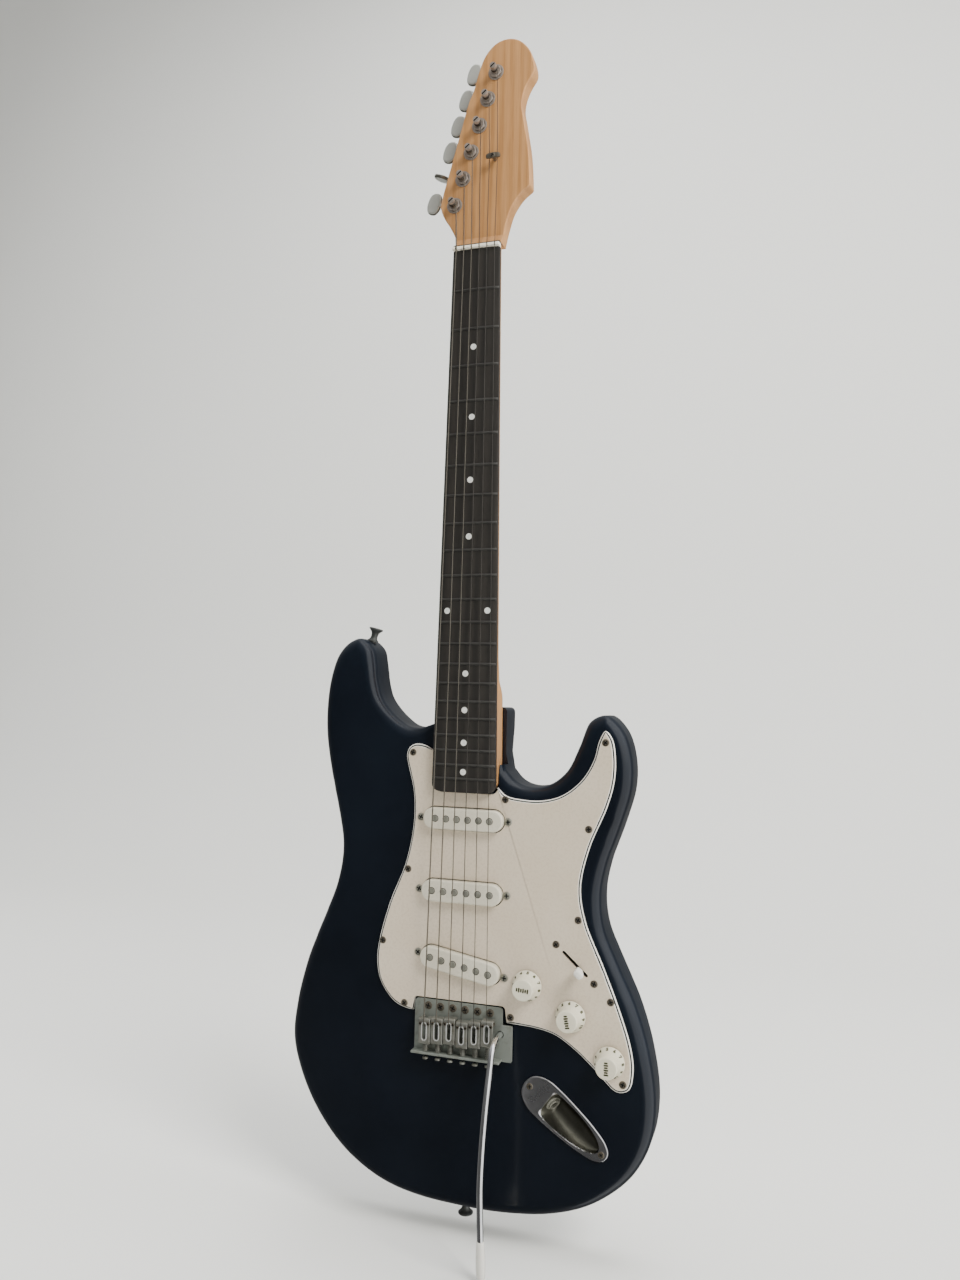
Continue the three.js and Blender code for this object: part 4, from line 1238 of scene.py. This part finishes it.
def make_intonation(index, fittings):
    """A screw through the bridge's lip, added to the fittings, and its spring, which meets the saddle."""
    number = 6 - index
    x = saddle_x(index)
    saddle_rear = -18.0 - SADDLE_SETBACK[index]
    facing_back = shift(x, INTONATION_Y, -36.4) @ spin(1.5 * math.pi, "X")
    cross_head(fittings, 0, 0, 0, 2.5, 1.7, 0.4 + 0.8 * index, facing_back)
    tube(fittings, [(x, INTONATION_Y, -34.8), (x, INTONATION_Y, saddle_rear + 7)], 1.25, 12)
    spring = bmesh.new()
    start, end = (x, INTONATION_Y, -31.8), (x, INTONATION_Y, saddle_rear - 0.4)
    coil(spring, start, end, 2.05, 0.36, 7, 8, 14)
    made = finish(f"intonation_spring_{number}", spring, SADDLE_STEEL, None, smooth=45)
    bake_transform(made)


def make_saddle(index):
    body = f"saddle_{6 - index}"
    top = SADDLE_STRING_Y + STRING_RADII[0] + 0.3
    low = -5.5
    screw_x, screw_z, slot_z = 3.4, -1.2, -7.4
    place = shift(saddle_x(index), 0, -SADDLE_SETBACK[index])
    outline = rounded_outline([(3, low), (3, top + 0.2), (-18, top), (-18, low)], [0, 2.0, 1.8, 0], 5)
    underside = [(-16.5, low), (-16.5, top + 1.5), (1.5, top + 1.6), (1.5, low)]
    outline += rounded_outline(underside, [0, 0.6, 0.7, 0], 3)
    steps = inward(outline)
    rings = []
    for x, inset in ((-5, 0.3), (-4.7, 0.05), (-4.4, 0), (4.4, 0), (4.7, 0.05), (5, 0.3)):
        line = [p + s * inset for p, s in zip(outline, steps)]
        rings.append([Vector((x, p.y, p.x)) for p in line])
    bm = bmesh.new()
    skin(bm, rings)
    holes = [cutter(stadium(13.0, 3.1, 8), -30, top + 4, seat(0, 0, slot_z, math.pi / 2))]
    holes += [cutter(circle(1.45, 16, x, screw_z), -30, top + 5) for x in (-screw_x, screw_x)]
    holes.append(cutter(circle(1.4, 16, 0, -INTONATION_Y), -19.5, -15.5, spin(math.pi / 2, "X")))
    if index == 0:
        holes.append(block(-1.5, 1.5, top + 3, 0, -2, 5))
    for hole in holes:
        bm = boolean(bm, hole)
    bm.transform(place)
    finish(f"{body}_strip", bm, SADDLE_STEEL, body, [body], smooth=35)
    screws = bmesh.new()
    profile = [(0, PLATE_FRONT - 0.35), (0.8, PLATE_FRONT - 0.4), (1.35, PLATE_FRONT - 1.0),
               (1.35, top - 0.35), (1.2, top - 0.55), (0.75, top - 0.55), (0.75, top + 0.3), (0, top + 0.3)]
    # The last two bands of each height screw, its hex socket, are black: painted shade in the socket.
    for x in (-screw_x, screw_x):
        turned(screws, profile, 18, place @ shift(x, 0, screw_z), [0, 0, 0, 0, 0, 1, 1])
    # A pale hoop round each saddle's slot: a painted highlight on the slot's rim.
    outer, inner = stadium(15.0, 4.9, 8), stadium(13.5, 3.4, 8)
    highlight_hoop = ((outer, 0.1), (outer, -0.12), (inner, -0.16), (inner, 1.3))
    rim = bmesh.new()
    skin(rim, [drawn(line, top + rise) for line, rise in highlight_hoop], 0, False)
    rim.transform(place @ seat(0, 0, slot_z, math.pi / 2))
    merge(screws, rim, 2)
    finish(f"{body}_screws", screws, [SCREW, PAINTED_SHADE, PAINTED_HIGHLIGHT_METAL], body, smooth=40)


def make_arm():
    socket = Vector((ARM_X, 0, ARM_Z))
    knots = [(13, 0), (0, 0), (-16, 0), (-26, -5), (-32, -18), (-45, -58), (-50.5, -96), (-49, -118),
             (-46, -141)]
    path = outlined([(0, y, z) for y, z in knots], 2.2)
    bar = bmesh.new()
    tube(bar, [socket + p for p in path], 2.5, 24)
    finish("tremolo_bar", bar, BAR_CHROME, "tremolo_arm", ["tremolo_arm"], smooth=50)
    start, end = socket + path[-1], socket + Vector((0, -42.2, -173))
    shape = [(0.0, 2.6), (0.012, 3.0), (0.06, 3.15), (0.25, 3.4), (0.5, 3.65), (0.7, 3.7), (0.84, 3.4),
             (0.93, 2.7), (0.975, 1.8), (0.997, 0.7)]  # radius at each share of the tip's length
    tip = bmesh.new()
    tube(tip, [start.lerp(end, t) for t, _ in shape], [radius for _, radius in shape], 28)
    finish("tremolo_tip", tip, TIP_WHITE, "tremolo_arm", smooth=50)


# ---- tuners ----

def string_wire(index):
    return WOUND_WIRE if index < 3 else PLAIN_WIRE


def make_tuner_case(number, place):
    case = bmesh.new()
    slab(case, rectangle(19, 22.6, 4, 0, 2.3, 6), soft_levels(14.1, 25.3, 0.3, 2.6, 5))
    turned(case, [(4.8, 14.5), (4.8, -0.1), (7.0, -0.1), (7.0, -0.75), (6.6, -1.0), (5.4, -1.0)], 36)
    hexagon = rounded_outline(circle(5.6, 6), 0.5, 2)
    slab(case, hexagon, [(-2.55, 1.2), (-2.5, 0.7), (-2.2, 0.2), (-1.9, 0.0), (-0.9, 0.0)])
    turned(case, [(3.5, -1.0), (3.5, -2.75), (3.9, -2.95), (4.6, -2.9), (4.9, -2.5)], 28)
    collar = shift(0, WORM_Y, WORM_OFFSET) @ spin(math.pi / 2, "Z")
    turned(case, [(2.45, 13.9), (3.3, 13.9), (3.7, 13.4), (3.7, 9.0)], 28, collar)
    for x, z in ((-6.4, 10.8), (6.4, -6.2)):
        cross_head(case, 0, 0, 0, 1.7, 0.5, 0.5, shift(x, 25.4, z) @ spin(math.pi, "X"), slots=1)
    case.transform(place)
    looks = [BUSH_METAL, PAINTED_SHADE]
    finish(f"tuner_{number}_case", case, looks, "root", [f"tuner_housing_{number}"], smooth=40)


def make_tuner_post(index, place):
    """The post, the slot in its end and the string wound on it."""
    body = f"tuner_post_{6 - index}"
    post = bmesh.new()
    profile = [(0, 21), (2.95, 21), (2.95, -3.2), (2.5, -3.9), (2.45, -6.9), (2.95, -7.8), (3.0, -10.2),
               (2.8, -10.8), (2.3, -11), (0, -11)]
    turned(post, profile, 32, place)
    # A black bar across the post's end stands for its slot: painted shade in the slot.
    slot = bmesh.new()
    softened_box(slot, (-0.55, -11.06, -2.35), (0.55, -10.9, 2.35), 0)
    slot.transform(place @ spin(0.6, "Y"))
    merge(post, slot, 1)
    x, z = tuner_place(index)
    radius = STRING_RADII[index]
    reach = POST_NECK + radius
    turns, per_turn = (2.3 if index < 3 else 3.6), 20
    rise = 1.89 * radius * turns
    count = round(turns * per_turn)
    winding = []
    for k in range(count + 1):
        turn = 2 * math.pi * k / per_turn
        y = POST_STRING_Y + rise * (k / count - 0.5)
        winding.append(Vector((x + reach * math.cos(turn), y, z - reach * math.sin(turn))))
    tube(post, winding, radius, 8, 2)
    looks = [BUSH_METAL, PAINTED_SHADE, string_wire(index)]
    finish(f"tuner_{6 - index}_post", post, looks, body, [body], smooth=40)


def make_tuner_button(index, place):
    """The oval button and its stem. One button was left turned, as in the photograph."""
    body = f"tuner_button_{6 - index}"
    side = [(2.0, -2.3), (1.85, -1.2), (1.4, -0.45), (0.7, -0.08)]
    rings = []
    for y, grow in [(-y, grow) for y, grow in side] + [(0, 0)] + side[::-1]:
        ring = []
        for t in angles(40):
            x = -BUTTON_REACH + (6.6 + grow) * signed_power(math.cos(t), 0.8)
            ring.append(Vector((x, y, (10.0 + grow) * signed_power(math.sin(t), 0.9))))
        rings.append(ring)
    button = bmesh.new()
    skin(button, rings)
    # Faces that turn away from the button's flat sides take the dark metal: painted shade on its edge.
    button.normal_update()
    for face in button.faces:
        face.material_index = 1 if abs(face.normal.y) < 0.62 else 0
    stem = [(0, -2.2), (2.2, -2.2), (2.2, 13.5), (2.2, 17.5), (2.9, 18.2), (2.9, 20.2), (2.2, 21.0),
            (1.9, 23.5), (1.6, 26.5), (0, 27.0)]
    turned(button, stem, 24, spin(math.pi / 2, "Z"))
    button.transform(place @ shift(0, WORM_Y, WORM_OFFSET) @ spin(1.8 if index == 1 else 0.0, "X"))
    finish(f"tuner_{6 - index}_button", button, [BUTTON_METAL, SHADED_BUTTON_EDGE], body, [body], smooth=45)


def make_tuner(index):
    x, z = tuner_place(index)
    place = seat(x, 0, z, TUNER_TILT)
    make_tuner_case(6 - index, place)
    make_tuner_post(index, place)
    make_tuner_button(index, place)


# ---- strings ----

def make_string(index):
    number = 6 - index
    radius = STRING_RADII[index]
    post_x, post_z = tuner_place(index)
    nut = Vector((nut_x(index), NUT_STRING_Y, SCALE_LENGTH))
    saddle = Vector((saddle_x(index), SADDLE_STRING_Y, -SADDLE_SETBACK[index]))
    knots = [Vector((post_x + POST_NECK + radius, POST_STRING_Y - 0.3, post_z + 0.5))]
    if index >= 4:  # the two that pass under the string tree
        knots.append(Vector((nut.x - (1.6 if index == 4 else 1.2), POST_STRING_Y, TREE_Z)))
    knots += [nut + Vector((0, 0, 3.3)), nut]
    for z in (300, 60, 30, 26, 23, 20, 17, 14, 11, 8, 5, 3):  # closest where the rocking bridge bends it
        knots.append(nut.lerp(saddle, (nut.z - z) / (nut.z - saddle.z)))
    knots += [saddle + Vector(step) for step in ((0, 0, 1.2), (0, 0.1, 0), (0, 0.7, -1.2), (0, 2.6, -3.2))]
    for y, ahead in ((PLATE_FRONT - 0.8, 0.35), (PLATE_FRONT + 0.6, 0), (34, 0)):
        knots.append(Vector((saddle.x, y, STRING_HOLE_Z + ahead)))
    bm = bmesh.new()
    tube(bm, knots, radius, 10)
    made = finish(f"string_{number}_wire", bm, string_wire(index), None, smooth=60, weighted=False)
    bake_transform(made)
    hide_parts(f"string_{number}")


def make_tree():
    bar = [(-8.15, -1), (-8.3, -0.6), (-8.35, 0), (-8.3, 0.6), (-8.15, 1), (-6.5, 1), (-6.2, 0.6),
           (-6.2, -0.6), (-6.5, -1)]
    rings = []
    for share in span(12):
        droop = 0.9 * share ** 4
        wide = 2.3 - droop
        rings.append([Vector((TREE_X + 6.25 * share, y + droop, TREE_Z + wide * z)) for y, z in bar])
    bm = bmesh.new()
    skin(bm, rings)
    turned(bm, [(1.6, -0.2), (1.6, -6.6)], 20, seat(TREE_X, 0, TREE_Z))
    cross_head(bm, TREE_X, -9.0, TREE_Z, 2.3, 0.8, 0.5)
    finish("string_guide", bm, [SCREW, PAINTED_SHADE], "root", ["string_tree"], smooth=40)


# ---- rear ----

def rear_screws(bm, places, radius):
    for k, (x, z) in enumerate(places):
        facing_back = shift(x, BACK - 0.25, z) @ spin(math.pi, "X")
        cross_head(bm, 0, 0, 0, radius, 0.8, 0.6 * k, facing_back)


def make_rear_plates():
    plate = bmesh.new()
    slab(plate, rectangle(51, 62, 4, 0, 219, 8), soft_levels(BODY_THICKNESS + 0.05, BACK - 0.35, 0.1, 0.6, 4))
    finish("neck_plate_steel", plate, CHROME, "root", ["neck_plate"], smooth=35)
    cover = bmesh.new()
    levels = [(BODY_THICKNESS + 0.05, 0), (44.0, 0), (BACK - 0.4, 0.5), (BACK - 0.35, 0.8)]
    slab(cover, rectangle(96, 158, 7, 2, ROUTE_Z, 8), levels)
    cover = boolean(cover, cutter(rectangle(62, 12, 5.5, 0, STRING_HOLE_Z, 8), 30, 60))
    finish("rear_cover_plate", cover, REAR_WHITE, "root", ["rear_cover"], smooth=30)
    screws = bmesh.new()
    rear_screws(screws, [(x, z) for z in (242, 196) for x in (-19, 19)], 3.6)
    rear_screws(screws, [(x, z) for z in (111, 40, -36) for x in (-41, 45)], 2.8)
    finish("rear_screws", screws, [SCREW, PAINTED_SHADE], "root", smooth=45)


def make_tremolo_spring(number, x):
    y = TREMOLO_SPRING_Y
    low, high = 3.4, 84.6
    bm = bmesh.new()
    tube(bm, [(x, y, -8.6), (x, y, 0), (x, y - 0.4, 2.4), (x, y - 2.8, low)], 0.6, 8)
    coil(bm, (x, y, low), (x, y, high), 3.0, 0.62, 46, 8, 12)
    tube(bm, [(x, y - 2.8, high), (x, y - 0.4, 85.8), (x, y, 88), (x, y, 99.6)], 0.6, 8)
    made = finish(f"tremolo_coil_{number}", bm, STEEL, None, smooth=60, weighted=False)
    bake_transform(made)
    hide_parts(f"tremolo_spring_{number}")


def make_strap_button(name, x, z, tilt):
    place = seat(x, BODY_THICKNESS / 2, z, tilt) @ spin(math.pi / 2, "X")
    profile = [(0, -3.0), (3.2, -3.0), (3.2, 0), (5.0, 0), (5.0, 0.7), (4.4, 1.2), (3.3, 2.4), (3.0, 4.2),
               (3.05, 6.6), (3.9, 8.6), (5.4, 10.0), (6.2, 10.7), (6.3, 11.3), (6.0, 11.9), (5.2, 12.1),
               (3.4, 11.7), (2.9, 11.5), (0, 11.4)]
    bm = bmesh.new()
    turned(bm, profile, 36, place)
    finish(f"{name}_strap_knob", bm, BLACKENED, "root", [f"{name}_strap_button"], smooth=45)


# ---- the whole guitar ----

make_body()
make_neck()
make_board()
make_frets()
make_dots()
make_nut()
make_guard()
for pickup, (pickup_z, pickup_tilt) in PICKUPS.items():
    make_pickup(pickup, pickup_z, pickup_tilt)
for knob, knob_turn, mark in zip(KNOBS, (0.4, -0.3, 0.15), (0.08, 1.38, 1.55)):
    make_knob(knob, *KNOBS[knob], knob_turn, mark)
make_lever()
make_jack()
make_bridge()
make_arm()
for string in range(6):
    make_saddle(string)
    make_tuner(string)
    make_string(string)
make_tree()
make_rear_plates()
for spring_number, spring_x in enumerate((-22, 0, 22), 1):
    make_tremolo_spring(spring_number, spring_x)
make_strap_button("upper", -99.6, 309.4, 0.26)
make_strap_button("lower", 1.4, -158.8, math.pi)

POTS = ("volume_pot", "neck_tone_pot", "middle_tone_pot")
for node in (*POTS, "selector_switch", "spring_claw", "tremolo_block"):  # shown as they are in the frame
    cad_mesh = frame["nodes"][node].data
    cad_mesh.materials.clear()
    cad_mesh.materials.append(STEEL)


# ---- stage, light and camera ----

def make_stage():
    """A pale floor that curves up into a backdrop behind the guitar. All in metres."""
    floor_z = cad_box[0][2] - 0.0005
    bend = 0.8
    profile = [(-4.0, 0.0), (1.0, 0.0)]
    for k in range(1, 17):
        turn = math.pi / 2 * k / 16
        profile.append((1.0 + bend * math.sin(turn), bend - bend * math.cos(turn)))
    profile.append((1.0 + bend, 4.5))
    bm = bmesh.new()
    rows = [[bm.verts.new((x, y, floor_z + z)) for x in (-5.0, 5.0)] for y, z in profile]
    for low, high in zip(rows, rows[1:]):
        bm.faces.new((low[0], low[1], high[1], high[0])).smooth = True
    mesh = bpy.data.meshes.new("studio_floor")
    bm.to_mesh(mesh)
    bm.free()
    obj = bpy.data.objects.new("studio_floor", mesh)
    bpy.context.scene.collection.objects.link(obj)
    look = Look("studio_paper", (0.80, 0.80, 0.77), 0.85)
    look.rough(look.noise(30.0), 0.8, 0.9)
    mesh.materials.append(look.material)
    obj.visible_glossy = False


def make_light(name, place, aim, size, power, color):
    """A soft panel of light. Glossy faces don't mirror it: what they mirror is the sky."""
    data = bpy.data.lights.new(name, "AREA")
    data.shape = "RECTANGLE"
    data.size, data.size_y = size
    data.energy = power
    data.color = color
    obj = bpy.data.objects.new(name, data)
    obj.location = place
    obj.rotation_euler = (Vector(aim) - Vector(place)).to_track_quat("-Z", "Y").to_euler()
    obj.visible_glossy = False
    bpy.context.scene.collection.objects.link(obj)


def make_sky():
    """Soft light from all round. What glossy faces mirror is dimmer, and brighter overhead."""
    sky = bpy.data.worlds.new("studio")
    sky.use_nodes = True
    tree = sky.node_tree
    place = add_node(tree, "TexCoord", {}).outputs["Generated"]
    heading = add_node(tree, "SeparateXYZ", {"Vector": place})

    def graded(value, start, end, low, high, **settings):
        inputs = {"Value": value, "From Min": start, "From Max": end, "To Min": low, "To Max": high}
        return add_node(tree, "MapRange", inputs, **settings).outputs["Result"]

    def share(axis, *limits):
        return graded(heading.outputs[axis], *limits)

    def added(first, second):
        return add_node(tree, "Math", {0: first, 1: second}, operation="ADD").outputs["Value"]

    def patch(source, direction, start, end, brightness):
        """A soft bright patch round a direction."""
        inputs = {0: source, 1: Vector(direction).normalized()}
        towards = add_node(tree, "VectorMath", inputs, operation="DOT_PRODUCT").outputs["Value"]
        return graded(towards, start, end, 0.0, brightness, interpolation_type="SMOOTHSTEP")

    level = add_node(tree, "VectorMath", {0: place, 1: (1, 1, 0)}, operation="MULTIPLY").outputs["Vector"]
    compass = add_node(tree, "VectorMath", {0: level}, operation="NORMALIZE").outputs["Vector"]
    mirrored_light = added(share("Y", -0.6, 0.5, 0.10, 0.22), share("Z", 0.1, 0.9, 0.0, 0.4))
    mirrored_light = added(mirrored_light, patch(compass, (0.956, -0.292, 0), 0.70, 0.82, 1.5))
    mirrored_light = added(mirrored_light, patch(place, (0.75, -0.35, 0.55), 0.80, 0.93, 0.7))
    mirrored_light = added(mirrored_light, patch(place, (0.1, 0.1, 1.0), 0.85, 0.96, 0.8))
    glossy = add_node(tree, "LightPath", {}).outputs["Is Glossy Ray"]
    lit = share("Y", -0.8, 0.3, 0.26, 0.66)
    chosen = add_node(tree, "Mix", {"Factor": glossy, "A": lit, "B": mirrored_light})
    background = tree.nodes["Background"]
    background.inputs["Color"].default_value = (0.88, 0.885, 0.885, 1.0)
    tree.links.new(chosen.outputs["Result"], background.inputs["Strength"])
    bpy.context.scene.world = sky


def make_camera():
    """The camera stands to the treble side, level with the neck joint, and looks slightly up."""
    forward = Vector((-0.31209, 0.94785, 0.06462))
    up = Vector((-0.00255, -0.06886, 0.99762))
    right = forward.cross(up).normalized()
    data = bpy.data.cameras.new("view")
    data.sensor_width = 36.0
    data.lens = 27.35
    obj = bpy.data.objects.new("view", data)
    turn = Matrix((right, right.cross(forward), -forward)).transposed()
    obj.matrix_world = shift(0.2662, -0.8258, 0.2561) @ turn.to_4x4()
    bpy.context.scene.collection.objects.link(obj)
    bpy.context.scene.camera = obj


make_stage()
make_light("key", (1.9, -1.3, 2.2), (0, 0, 0.25), (1.2, 1.2), 125.0, (1.0, 0.985, 0.95))
make_light("side", (2.6, 0.2, 0.7), (0, 0, 0.1), (0.9, 2.0), 30.0, (0.96, 0.98, 1.0))
make_light("left", (-2.4, -0.5, 1.4), (0, 0, 0.2), (1.2, 2.0), 36.0, (0.97, 0.985, 1.0))
make_light("top", (0.1, 0.2, 2.7), (0, 0, 0.2), (2.4, 1.4), 60.0, (1, 1, 1))
make_sky()
make_camera()
